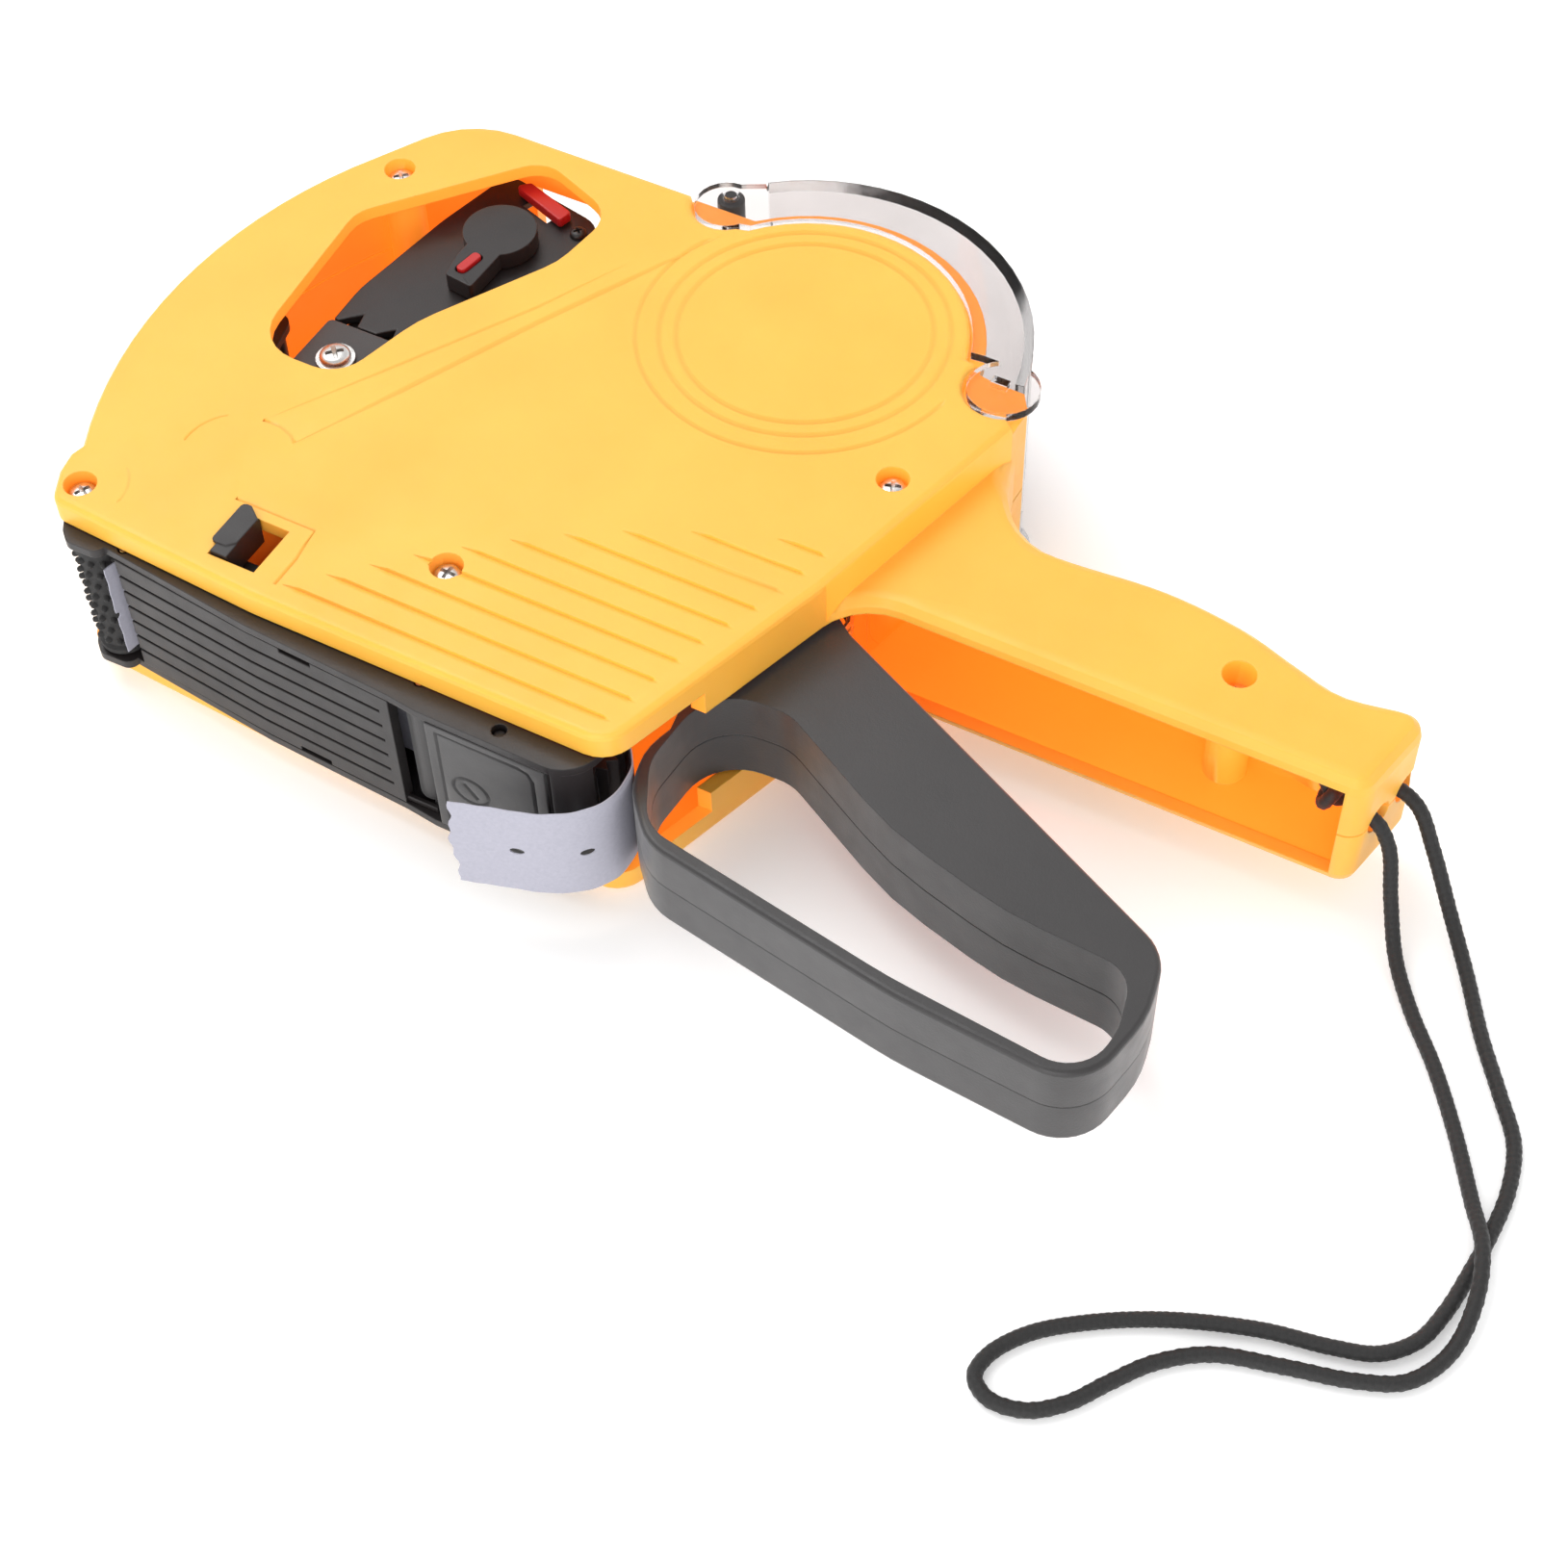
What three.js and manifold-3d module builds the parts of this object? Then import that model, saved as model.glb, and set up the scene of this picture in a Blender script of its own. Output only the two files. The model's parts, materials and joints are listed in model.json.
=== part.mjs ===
// Price labeling gun: a hand tool that prints and applies price labels from a roll.
//
// It lies on one side. In its drawing, x runs along the base from the nose to the handle, y runs
// from the base towards the roll cover, and z is the height above the lower face. The axis of the
// label roll is at x = 0, y = 0. The last lines move the finished gun so that the middle of its
// box stands on the origin. All lengths are in millimetres and all angles in degrees.

import * as THREE from 'three';
import { mergeVertices } from 'three/addons/utils/BufferGeometryUtils.js';
import Module from 'manifold-3d';

const wasm = await Module();
wasm.setup();

// ---- driving dimensions ----
const THICKNESS = 40;
const MIDDLE = THICKNESS / 2;
const WALL = 2.5;
const GAP = 0.3;
const FACE_FILLET = 1.3;
const HANDLE_STEP = 7;
const HANDLE_FILLET = 3;

const NOSE = { x: -15.5, y: -39.5, r: 87.5 };
const TOP_EDGE = 22;
const BASE_EDGE = -93.5;

const SEAT_RADIUS = 28.3;
const LEDGE_RADIUS = 31;
const COVER_RADIUS = 39;
const COVER_WALL = 1.6;
const COVER_PLATE = 1.7;
const COVER_EAR = { x: -27.8, y: 22.3, r: 5.8 };
const COVER_CATCH = { x: 36, y: 3.2, r: 6.3 };
const COVER_HINGE = { x: -28.6, y: 25.3 };

const LABEL_WIDTH = 20.5;
const LABEL_LOW = MIDDLE - LABEL_WIDTH / 2;
const LABEL_HIGH = MIDDLE + LABEL_WIDTH / 2;
const PAPER = 0.35;
const ROLL_RADIUS = 25.5;
const CORE_RADIUS = 9.9;

const LEVER_PIVOT = { x: 25, y: -44 };
const LEVER_WIDTH = 18;
const ARM_THICKNESS = 1.7;
const ARM_OUTER = 13;
const ARM_INNER = ARM_OUTER - ARM_THICKNESS;

const SELECTOR = { x: -62.4, y: 1.1 };
const HEAD_LEAN = -16;
const BAND_COUNT = 6;
const BAND_PITCH = 2.8;
const BAND_WIDTH = 2.4;
const MAIN_SCREW = { x: -72.2, y: -37.3 };
const SMALL_SCREW = { x: -51.6, y: 9.8 };

const INK_PIVOT = { x: -90, y: -33 };
const INK_ROLLER = { x: -83.5, y: -61.5, r: 4.5 };

const FRAME_HALF = 14.7;
const CHEEK = 1.6;
const APPLICATOR = { x: -84.4, y: -89.8, r: 4.6 };
const GUIDE = { x: -18.5, y: -92.8, r: 3 };
const FEED_WHEEL = { x: 7.5, y: -87.5, r: 6.4, teeth: 16 };
const LATCH_PIN = { x: -2.3, y: -95.4 };
const BASE_HINGE = { x: -76.9, y: -91.6 };

const CORD_RADIUS = 1.25;

// ---- materials ----
function material(color, roughness, metalness = 0) {
  return new THREE.MeshStandardMaterial({ color, roughness, metalness });
}

const YELLOW = () => material(0xf7b731, 0.42);
const BLACK = () => material(0x3a3839, 0.5);
const RUBBER = () => material(0x4a4849, 0.8);
const RED = () => material(0xc4202a, 0.4);
const STEEL = () => material(0xc9c9c6, 0.3, 1);
const LABELS = () => material(0xe4e1ee, 0.75);
const CARDBOARD = () => material(0xb59a75, 0.9);
const CORD = () => material(0x22211f, 0.85);

function smoky() {
  const clear = material(0xb9b4b4, 0.15);
  clear.transparent = true;
  clear.opacity = 0.35;
  return clear;
}

// ---- outlines: lists of [x, y], or [x, y, radius] for a rounded corner ----
const radians = (degrees) => THREE.MathUtils.degToRad(degrees);

function arc(cx, cy, r, from, to, step = 7) {
  const count = Math.max(2, Math.ceil(Math.abs(to - from) / step));
  const points = [];
  for (let i = 0; i <= count; i += 1) {
    const angle = radians(from + ((to - from) * i) / count);
    points.push([cx + r * Math.cos(angle), cy + r * Math.sin(angle)]);
  }
  return points;
}

const circle = (at, r, step = 15) => arc(at.x, at.y, r, 0, 360 - step, step);

function spline(points, count) {
  const curve = new THREE.SplineCurve(points.map(([x, y]) => new THREE.Vector2(x, y)));
  return curve.getSpacedPoints(count).map((p) => [p.x, p.y]);
}

// Replaces each corner that has a radius by an arc that touches both of its sides.
function rounded(points, step = 15) {
  const result = [];
  points.forEach((point, i) => {
    const [x, y, r] = point;
    if (!r) {
      result.push([x, y]);
      return;
    }
    const corner = new THREE.Vector2(x, y);
    const before = new THREE.Vector2(...points.at(i - 1)).sub(corner).normalize();
    const after = new THREE.Vector2(...points[(i + 1) % points.length]).sub(corner).normalize();
    const half = Math.acos(THREE.MathUtils.clamp(before.dot(after), -1, 1)) / 2;
    const start = corner.clone().addScaledVector(before, r / Math.tan(half));
    const end = corner.clone().addScaledVector(after, r / Math.tan(half));
    const middle = before.clone().add(after).normalize();
    const centre = corner.clone().addScaledVector(middle, r / Math.sin(half));
    const first = Math.atan2(start.y - centre.y, start.x - centre.x);
    let sweep = Math.atan2(end.y - centre.y, end.x - centre.x) - first;
    sweep = Math.atan2(Math.sin(sweep), Math.cos(sweep));
    const count = Math.max(2, Math.ceil(Math.abs(sweep) / radians(step)));
    for (let k = 0; k <= count; k += 1) {
      const angle = first + (sweep * k) / count;
      result.push([centre.x + r * Math.cos(angle), centre.y + r * Math.sin(angle)]);
    }
  });
  return result;
}

// Moves a closed outline inwards by a distance.
function inset(points, distance) {
  const area = THREE.ShapeUtils.area(points.map(([x, y]) => new THREE.Vector2(x, y)));
  const side = Math.sign(area) * distance;
  return points.map(([x, y], i) => {
    const [px, py] = points.at(i - 1);
    const [nx, ny] = points[(i + 1) % points.length];
    const into = new THREE.Vector2(x - px, y - py).normalize();
    const out = new THREE.Vector2(nx - x, ny - y).normalize();
    const normal = new THREE.Vector2(-into.y - out.y, into.x + out.x).normalize();
    const miter = side / Math.max(0.5, -into.y * normal.x + into.x * normal.y);
    return [x + normal.x * miter, y + normal.y * miter];
  });
}

// Gives an open line a thickness, as a closed outline.
function ribbon(points, thickness) {
  const left = [];
  const right = [];
  points.forEach(([x, y], i) => {
    const [ax, ay] = points[Math.max(0, i - 1)];
    const [bx, by] = points[Math.min(points.length - 1, i + 1)];
    const along = new THREE.Vector2(bx - ax, by - ay).normalize().multiplyScalar(thickness / 2);
    left.push([x - along.y, y + along.x]);
    right.push([x + along.y, y - along.x]);
  });
  return [...left, ...right.reverse()];
}

// ---- solids ----
function solid(geometry) {
  const plain = geometry.index ? geometry.toNonIndexed() : geometry.clone();
  plain.deleteAttribute('normal');
  plain.deleteAttribute('uv');
  const merged = mergeVertices(plain, 1e-4);
  return new wasm.Manifold(new wasm.Mesh({
    numProp: 3,
    vertProperties: new Float32Array(merged.attributes.position.array),
    triVerts: new Uint32Array(merged.index.array),
  }));
}

// An outline from height z0 to z1, with its edges rounded by the fillet and with round holes.
function plate(points, z0, z1, fillet = 0) {
  const shape = new THREE.Shape(points.map(([x, y]) => new THREE.Vector2(x, y)));
  const geometry = new THREE.ExtrudeGeometry(shape, {
    depth: z1 - z0 - 2 * fillet,
    bevelEnabled: fillet > 0,
    bevelThickness: fillet,
    bevelSize: fillet,
    bevelOffset: -fillet,
    bevelSegments: 3,
    steps: 1,
  });
  geometry.translate(0, 0, z0 + fillet);
  return solid(geometry);
}

const disc = (at, r, z0, z1, step = 15) => plate(circle(at, r, step), z0, z1);

function block(x0, x1, y0, y1, z0, z1) {
  const geometry = new THREE.BoxGeometry(x1 - x0, y1 - y0, z1 - z0);
  geometry.translate((x0 + x1) / 2, (y0 + y1) / 2, (z0 + z1) / 2);
  return solid(geometry);
}

// A round piece about an upright axis, from its profile of [radius, height] points.
function turned(at, profile, segments = 24) {
  const points = profile.map(([r, z]) => new THREE.Vector2(r, z));
  const geometry = new THREE.LatheGeometry(points, segments);
  geometry.rotateX(Math.PI / 2);
  geometry.translate(at.x, at.y, 0);
  return solid(geometry);
}

const join = (first, ...others) => others.reduce((sum, other) => sum.add(other), first);
const cut = (first, ...others) => others.reduce((rest, other) => rest.subtract(other), first);

function geometryOf(manifold) {
  const mesh = manifold.getMesh();
  const geometry = new THREE.BufferGeometry();
  geometry.setAttribute('position', new THREE.BufferAttribute(mesh.vertProperties, 3));
  geometry.setIndex(new THREE.BufferAttribute(mesh.triVerts, 1));
  geometry.computeVertexNormals();
  return geometry;
}

const gun = new THREE.Group();

function add(name, shape, finish) {
  const mesh = new THREE.Mesh(geometryOf(shape), finish);
  mesh.name = name;
  gun.add(mesh);
  return mesh;
}

// ---- shells ----
const HANDLE_LOW = HANDLE_STEP;
const HANDLE_HIGH = THICKNESS - HANDLE_STEP;

// The edge of the flat faces along the roll: it steps back to let the clear cover lie flush.
function faceRollEdge() {
  return [
    [-34.8, TOP_EDGE],
    ...arc(COVER_EAR.x, COVER_EAR.y, COVER_EAR.r + GAP, 196, 315, 17),
    ...arc(0, 0, SEAT_RADIUS, 139, 14),
    ...arc(COVER_CATCH.x, COVER_CATCH.y, COVER_CATCH.r + 0.5, 152, 300, 17),
  ];
}

// The edge of the ledge that the clear cover lies on.
function ledgeRollEdge() {
  return [
    [-22, TOP_EDGE],
    ...arc(0, 0, LEDGE_RADIUS, 134.5, 10),
    [33.2, 4.9],
    [39.2, 4.7],
    [41.3, 1.5],
  ];
}

function bodyOutline(rollEdge) {
  return rounded([
    [-90.6, -91.2, 3],
    [-93.4, -85.5],
    [-94.2, -81.4],
    ...arc(NOSE.x, NOSE.y, NOSE.r, 206.8, 149.5, 3.5),
    [-81.3, TOP_EDGE, 17],
    ...rollEdge,
    [41.3, -4.2],
    [30.2, -50, 20],
    [16.2, BASE_EDGE, 6],
    [-50, BASE_EDGE, 20],
  ]);
}

function handleOutline() {
  const back = spline([
    [43.4, -9.6], [47.8, -15.9], [53.3, -19.4], [60, -19.8],
    [76, -18.7], [90, -20.3], [100, -23.4], [109, -25.9], [118, -24.6],
  ], 30);
  return rounded([
    [24, -4],
    [40.6, 0.5, 3.5],
    ...back,
    [123.7, -24.2, 3.2],
    [119.9, -43, 3.5],
    [32.4, -43, 11],
    [22.6, -74, 4.5],
    [15, -74],
  ]);
}

function windowOutline() {
  return rounded([
    [-62.5, 17.6, 6],
    [-85.3, -9.8, 7],
    [-82.2, -46, 9],
    [-64.6, -46, 7],
    [-60.2, -28.5, 25],
    [-46.5, -4.5, 14],
    [-44.5, 10.5, 7],
  ]);
}

// Each screw goes from its face down to its tip. The second one only reaches the base frame.
const SHELL_SCREWS = [
  { x: -84.8, y: 3.6, face: THICKNESS, tip: 6, post: MIDDLE },
  { x: -88.2, y: -86.5, face: THICKNESS, tip: 33.3, post: 35 },
  { x: -25, y: -74, face: THICKNESS, tip: 6, post: MIDDLE },
  { x: 29.3, y: -24.2, face: THICKNESS, tip: 6, post: MIDDLE },
  { x: 93.7, y: -30.7, face: HANDLE_HIGH, tip: 12, post: MIDDLE },
];
const POST_RADIUS = 3.6;
const RECESS_RADIUS = 2.8;
const RECESS_DEPTH = 3.2;
const HANDLE_RECESS_DEPTH = 6;
const SCREW_HOLE = 1.5;

const recessDepth = (screw) => (screw.face === THICKNESS ? RECESS_DEPTH : HANDLE_RECESS_DEPTH);

const CORD_HOLES = [{ y: -29.6 }, { y: -37.2 }];
const CORD_HOLE_RADIUS = 1.9;
const PIN_BOSS = 3.4;
const HUB_RADIUS = 5;

// Both halves together: the hollow body and handle with every opening, before they are parted.
function hollowShell() {
  const ledge = bodyOutline(ledgeRollEdge());
  const seat = COVER_PLATE + GAP;
  const body = join(
    plate(bodyOutline(faceRollEdge()), 0, THICKNESS, FACE_FILLET),
    plate(ledge, seat, THICKNESS - seat),
    plate(handleOutline(), HANDLE_LOW, HANDLE_HIGH, HANDLE_FILLET),
  );
  const hollow = join(
    plate(inset(ledge, WALL), WALL, THICKNESS - WALL),
    plate(inset(handleOutline(), WALL), HANDLE_LOW + WALL, HANDLE_HIGH - WALL),
  );
  const hubRoom = disc(LEVER_PIVOT, HUB_RADIUS + 0.7, MIDDLE - ARM_OUTER - 0.4, MIDDLE + ARM_OUTER + 0.4);
  const windowHole = plate(windowOutline(), -1, THICKNESS + 1);
  return cut(body, hollow, hubRoom, windowHole, ...edgeGates());
}

// The openings in the walls round the edge of the body.
function edgeGates() {
  const rim = 5;
  const leverRim = 9.8;
  const selectorRim = 9;
  const rollGate = plate([...arc(0, 0, COVER_RADIUS, 136, 9), [20, 0], [-20, 10]], rim, THICKNESS - rim);
  const selectorGate = block(-67, -46, TOP_EDGE - 4, TOP_EDGE + 2, selectorRim, THICKNESS - selectorRim);
  const baseGate = block(-96, 30, -100, -86, rim, THICKNESS - rim);
  const behind = [[30, -56], [34, -56], [34, -100], [6, -100], [6, -86]];
  const wallBesideLever = [[15, -56], [34, -56], [27.5, -74.5], [15, -74.5]];
  const rearGate = cut(
    plate(behind, rim, THICKNESS - rim),
    plate(wallBesideLever, rim, leverRim),
    plate(wallBesideLever, THICKNESS - leverRim, THICKNESS - rim),
  );
  const leverGate = plate([
    [20, -60], [26, -46], [38, -40.2], [116.6, -40.2],
    [116.6, -50], [36, -58], [30, -80], [14, -80],
  ], leverRim, THICKNESS - leverRim);
  return [rollGate, selectorGate, baseGate, rearGate, leverGate];
}

// Two blocks that hold the hinge spindle of the clear cover on the top edge.
function spindleSaddle(z0, z1) {
  return cut(
    block(-32, -25.2, TOP_EDGE - 1.5, TOP_EDGE + 3.2, z0, z1),
    disc(COVER_HINGE, 2.8, z0 - 1, z1 + 1),
  );
}

function cordHole(hole) {
  const geometry = new THREE.CylinderGeometry(CORD_HOLE_RADIUS + 1.4, CORD_HOLE_RADIUS, 12, 16);
  geometry.rotateZ(-Math.PI / 2);
  geometry.rotateZ(radians(10));
  geometry.translate(119.5, hole.y, MIDDLE);
  return solid(geometry);
}

const SLOT = { x0: -60.5, x1: -51.5, y0: -89.5, y1: -79.5 };

function upperShell(shell) {
  const half = cut(shell, block(-150, 150, -150, 100, -5, MIDDLE + GAP / 2));
  const posts = SHELL_SCREWS.map((s) => disc(s, POST_RADIUS, s.post + GAP / 2, s.face - 1.5, 20));
  const bosses = [LEVER_PIVOT, INK_PIVOT].map(
    (at) => disc(at, PIN_BOSS, THICKNESS - 5.5, THICKNESS - 1.5));
  const recesses = SHELL_SCREWS.map(
    (s) => disc(s, RECESS_RADIUS, s.face - recessDepth(s), s.face + 1));
  const holes = SHELL_SCREWS.map((s) => disc(s, SCREW_HOLE, MIDDLE - 1, s.face, 30));
  const pinHoles = [
    disc(LEVER_PIVOT, 2.5, THICKNESS - 6, THICKNESS - WALL),
    disc(INK_PIVOT, 1.6, THICKNESS - 6, THICKNESS - WALL),
  ];
  const catchSlot = block(SLOT.x0, SLOT.x1, SLOT.y0, SLOT.y1, THICKNESS - 5, THICKNESS + 1);
  const body = join(half, ...posts, ...bosses, spindleSaddle(26, 31));
  return cut(body, ...recesses, ...holes, ...pinHoles, catchSlot, ...CORD_HOLES.map(cordHole));
}

function lowerShell(shell) {
  const half = cut(shell, block(-150, 150, -150, 100, MIDDLE - GAP / 2, THICKNESS + 5));
  const floorOf = (s) => THICKNESS - s.face;
  const posts = SHELL_SCREWS.map(
    (s) => disc(s, POST_RADIUS, floorOf(s) + 1.5, THICKNESS - s.post - GAP / 2, 20));
  const bosses = [LEVER_PIVOT, INK_PIVOT].map((at) => disc(at, PIN_BOSS, 1.5, 5.5));
  const holes = SHELL_SCREWS.map((s) => disc(s, SCREW_HOLE, floorOf(s) + 3, MIDDLE + 1, 30));
  const pinHoles = [
    disc(LEVER_PIVOT, 2.5, WALL, 6),
    disc(INK_PIVOT, 1.6, WALL, 6),
  ];
  const body = join(half, ...posts, ...bosses, spindleSaddle(9, 14));
  return cut(body, ...holes, ...pinHoles, ...CORD_HOLES.map(cordHole));
}

// A cross recess is cut into the top of a screw head.
function crossScrew(at, head, shank, z0, z1, headHeight = 1.5) {
  const top = z1;
  const body = turned(at, [
    [0, z0],
    [shank, z0],
    [shank, top - headHeight],
    [head, top - headHeight],
    [head, top - 0.5],
    [0, top],
  ], 14);
  const arm = head * 0.62;
  const bladeHalf = head * 0.13;
  const depth = headHeight * 0.6;
  return cut(
    body,
    block(at.x - arm, at.x + arm, at.y - bladeHalf, at.y + bladeHalf, top - depth, top + 1),
    block(at.x - bladeHalf, at.x + bladeHalf, at.y - arm, at.y + arm, top - depth, top + 1),
  );
}

function makeShells() {
  const shell = hollowShell();
  add('upper_shell', upperShell(shell), YELLOW());
  add('lower_shell', lowerShell(shell), YELLOW());
  SHELL_SCREWS.forEach((screw, i) => {
    const seat = screw.face - recessDepth(screw) + GAP;
    add(`shell_screw_${i + 1}`, crossScrew(screw, 2.4, 1.2, screw.tip, seat + 1.5), STEEL());
  });
}

// ---- label roll, its hub and the clear cover ----
function makeRoll() {
  const rollAxis = { x: 0, y: 0 };
  add('roll_hub', turned(rollAxis, [
    [0, LABEL_LOW - 4],
    [13, LABEL_LOW - 4],
    [13, LABEL_LOW - 2],
    [8.2, LABEL_LOW - 2],
    [8.2, LABEL_HIGH + 0.5],
    [7, LABEL_HIGH + 1.5],
    [0, LABEL_HIGH + 1.5],
  ], 32), BLACK());
  const ring = (outer, inner) => cut(
    disc(rollAxis, outer, LABEL_LOW, LABEL_HIGH, 7.5),
    disc(rollAxis, inner, 0, THICKNESS, 15),
  );
  add('roll_core', ring(CORE_RADIUS, 8.6), CARDBOARD());
  add('label_roll', ring(ROLL_RADIUS, CORE_RADIUS + GAP), LABELS());
}

// A side plate of the clear cover, with a round ear at each end and a slot for the catch.
function coverPlate(z0, z1) {
  const inner = arc(0, 0, SEAT_RADIUS + GAP, 138, 17, 6);
  const outer = arc(0, 0, COVER_RADIUS - 0.4, 14, 128, 6);
  const towardsEar = [
    [-21.2, 19.2], [-23.6, 18.7], [-28, 22], [-28, COVER_EAR.y + COVER_EAR.r], [-24.1, 30.2], [-17.6, 22.7],
  ];
  const towardsCatch = [[27.6, 8.6], [38.5, 8.6], [37, 12.6], [26.8, 11.8]];
  const snapSlot = block(33.4, 36.4, 3.4, 5.2, z0 - 1, z1 + 1);
  return cut(
    join(
      plate([...inner, ...outer], z0, z1),
      plate(towardsEar, z0, z1),
      plate(towardsCatch, z0, z1),
      disc(COVER_EAR, COVER_EAR.r, z0, z1),
      disc(COVER_CATCH, COVER_CATCH.r, z0, z1),
    ),
    snapSlot,
  );
}

function makeCover() {
  const band = plate([
    ...arc(0, 0, COVER_RADIUS - COVER_WALL, 128, 9, 6),
    ...arc(0, 0, COVER_RADIUS, 9, 128, 6),
  ], 0, THICKNESS);
  const journals = disc(COVER_HINGE, 1.4, -1, THICKNESS + 1);
  const cover = join(band, coverPlate(0, COVER_PLATE), coverPlate(THICKNESS - COVER_PLATE, THICKNESS));
  add('roll_cover', cut(cover, journals), smoky());
  add('cover_spindle', turned(COVER_HINGE, [
    [0, 0.4],
    [1.1, 0.4],
    [1.1, COVER_PLATE + GAP],
    [2.5, COVER_PLATE + GAP],
    [2.5, THICKNESS - COVER_PLATE - GAP],
    [1.1, THICKNESS - COVER_PLATE - GAP],
    [1.1, THICKNESS - 0.4],
    [0, THICKNESS - 0.4],
  ], 20), BLACK());
}

// ---- paper: labels run to the nose, the bare backing comes back and curls out behind ----
function makePaper() {
  const labels = [
    ...spline([[-25.8, -1], [-24.6, -12], [-18, -45], [-13.5, -72]], 8),
    ...arc(-20, -78.6, 6.6, 10, -80, 18),
    [-40, -85.2],
    ...spline([
      [-74, -85.2], [-77.2, -85.4], [-78.9, -87], [-79.2, -89.4], [-80.2, -92.8], [-80.7, -95.6],
    ], 10),
  ];
  add('label_strip', plate(ribbon(labels, PAPER), LABEL_LOW, LABEL_HIGH), LABELS());
  const backing = [
    [-75.5, -89.1],
    [-40, -89.2],
    ...spline([
      [-9, -89.2], [-4, -87.6], [-0.8, -84], [2.6, -81.2], [7.5, -80.4], [12, -82], [15, -85.4],
      [17.2, -88.6], [17.8, -91.6], [17.5, -96], [14.8, -100.2], [9.8, -103.6], [2.5, -106], [-5.4, -108.5],
    ], 34),
  ];
  add('backing_strip', plate(ribbon(backing, PAPER), LABEL_LOW, LABEL_HIGH), LABELS());
}

// ---- base: frame, cover, latch and rollers ----
const BASE_PROFILE = [[-80, -92.7], [-50, -96], [-22, -97.5]];
const FRAME_LOW = MIDDLE - FRAME_HALF;
const FRAME_HIGH = MIDDLE + FRAME_HALF;
const PANEL_HALF = FRAME_HALF - CHEEK - 0.2;
const PANEL_LOW = MIDDLE - PANEL_HALF;
const PANEL_HIGH = MIDDLE + PANEL_HALF;
const TONGUE = 1;

function makeBaseFrame() {
  const cheek = rounded([
    [-89.8, -84.4],
    [-90.5, -86.4],
    [-90.3, -89.8, 2],
    [-88.4, -92.8, 3],
    [-86.4, -94.6, 2],
    [-80.5, -94.4, 2],
    ...BASE_PROFILE,
    [-16, -98.2],
    [13.8, -98.4, 7],
    [14.4, -84.2],
    [2, -84.2],
  ]);
  const holes = [
    [SHELL_SCREWS[1], 1.5], [APPLICATOR, 1.3], [GUIDE, 1.1],
    [FEED_WHEEL, 1.5], [LATCH_PIN, 1.3], [BASE_HINGE, 1],
  ].map(([at, r]) => disc(at, r, 0, THICKNESS, 30));
  const cornerWall = ribbon([[8.2, -97.7], ...arc(6.9, -91.4, 6.3, -80, -20)], 1.4);
  const frame = join(
    plate(cheek, FRAME_LOW, FRAME_LOW + CHEEK),
    plate(cheek, FRAME_HIGH - CHEEK, FRAME_HIGH),
    block(-75.5, -9, -87.9, -85.7, FRAME_LOW, FRAME_HIGH),
    plate(cornerWall, FRAME_LOW + 0.5, FRAME_HIGH - 0.5),
  );
  add('base_frame', cut(frame, ...holes), BLACK());
  add('peel_bar', disc({ x: -77.2, y: -87.2 }, 1.1, PANEL_LOW, PANEL_HIGH, 30), STEEL());
}

function makeBaseCover() {
  const thickness = 2.2;
  const outer = [[-78.2, -93.1], ...BASE_PROFILE.slice(1)];
  const inner = outer.map(([x, y]) => [x, y + thickness]).reverse();
  const rib = (2 * PANEL_HALF) / 7;
  const grooves = [1, 2, 3, 4, 5, 6].map((i) => {
    const z = PANEL_LOW + rib * i;
    const line = [[-79, -94], [-50, -96.9], [-24, -98.3], [-24, -97], [-50, -95.5], [-79, -92.4]];
    return plate(line, z - 0.3, z + 0.3);
  });
  const tongue = (z0) => block(-23, -16.2, -96.9, -96.1, z0, z0 + TONGUE);
  const panel = join(
    plate([...outer, ...inner], PANEL_LOW, PANEL_HIGH),
    disc(BASE_HINGE, 1.5, PANEL_LOW, PANEL_HIGH, 20),
    tongue(PANEL_LOW),
    tongue(PANEL_HIGH - TONGUE),
  );
  const sideSlots = [PANEL_LOW - 1, PANEL_HIGH - 1].map((z0) => block(-43.5, -37.2, -99, -90, z0, z0 + 2));
  const pinBore = disc(BASE_HINGE, 1, 0, THICKNESS, 30);
  add('base_cover', cut(panel, ...grooves, ...sideSlots, pinBore), BLACK());
  add('base_cover_pin', disc(BASE_HINGE, 0.7, FRAME_LOW, FRAME_HIGH, 30), STEEL());
}

function makeBaseLatch() {
  const lug = (z0) => join(
    disc(LATCH_PIN, 2.1, z0, z0 + 2, 20),
    block(LATCH_PIN.x - 2.1, LATCH_PIN.x + 2.1, -97.2, LATCH_PIN.y, z0, z0 + 2),
  );
  const hook = (z0) => block(-17.6, -12, -95.6, -94.6, z0, z0 + TONGUE);
  const profile = [
    [-14.6, -98.4], [7.4, -98.4], [7.4, -96.4], [-12.6, -96.4], [-12.6, -94.6], [-14.6, -94.6],
  ];
  const rocker = join(
    plate(profile, PANEL_LOW, PANEL_HIGH),
    hook(PANEL_LOW),
    hook(PANEL_HIGH - TONGUE),
    lug(PANEL_LOW),
    lug(PANEL_HIGH - 2),
  );
  const pinEnd = 1.2;
  add('base_latch', cut(rocker, disc(LATCH_PIN, 1.3, 0, THICKNESS, 30)), BLACK());
  add('base_latch_pin', disc(LATCH_PIN, 1, FRAME_LOW + pinEnd, FRAME_HIGH - pinEnd, 30), STEEL());
}

function applicatorRoller() {
  const { r } = APPLICATOR;
  const low = PANEL_LOW + GAP;
  const high = PANEL_HIGH - GAP;
  const core = turned(APPLICATOR, [
    [0, low], [r - 0.4, low], [r - 0.4, low + 1.2], [r, low + 1.6],
    [r, high - 1.6], [r - 0.4, high - 1.2], [r - 0.4, high], [0, high],
  ], 24);
  return cut(core, disc(APPLICATOR, 1.3, 0, THICKNESS, 30));
}

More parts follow.
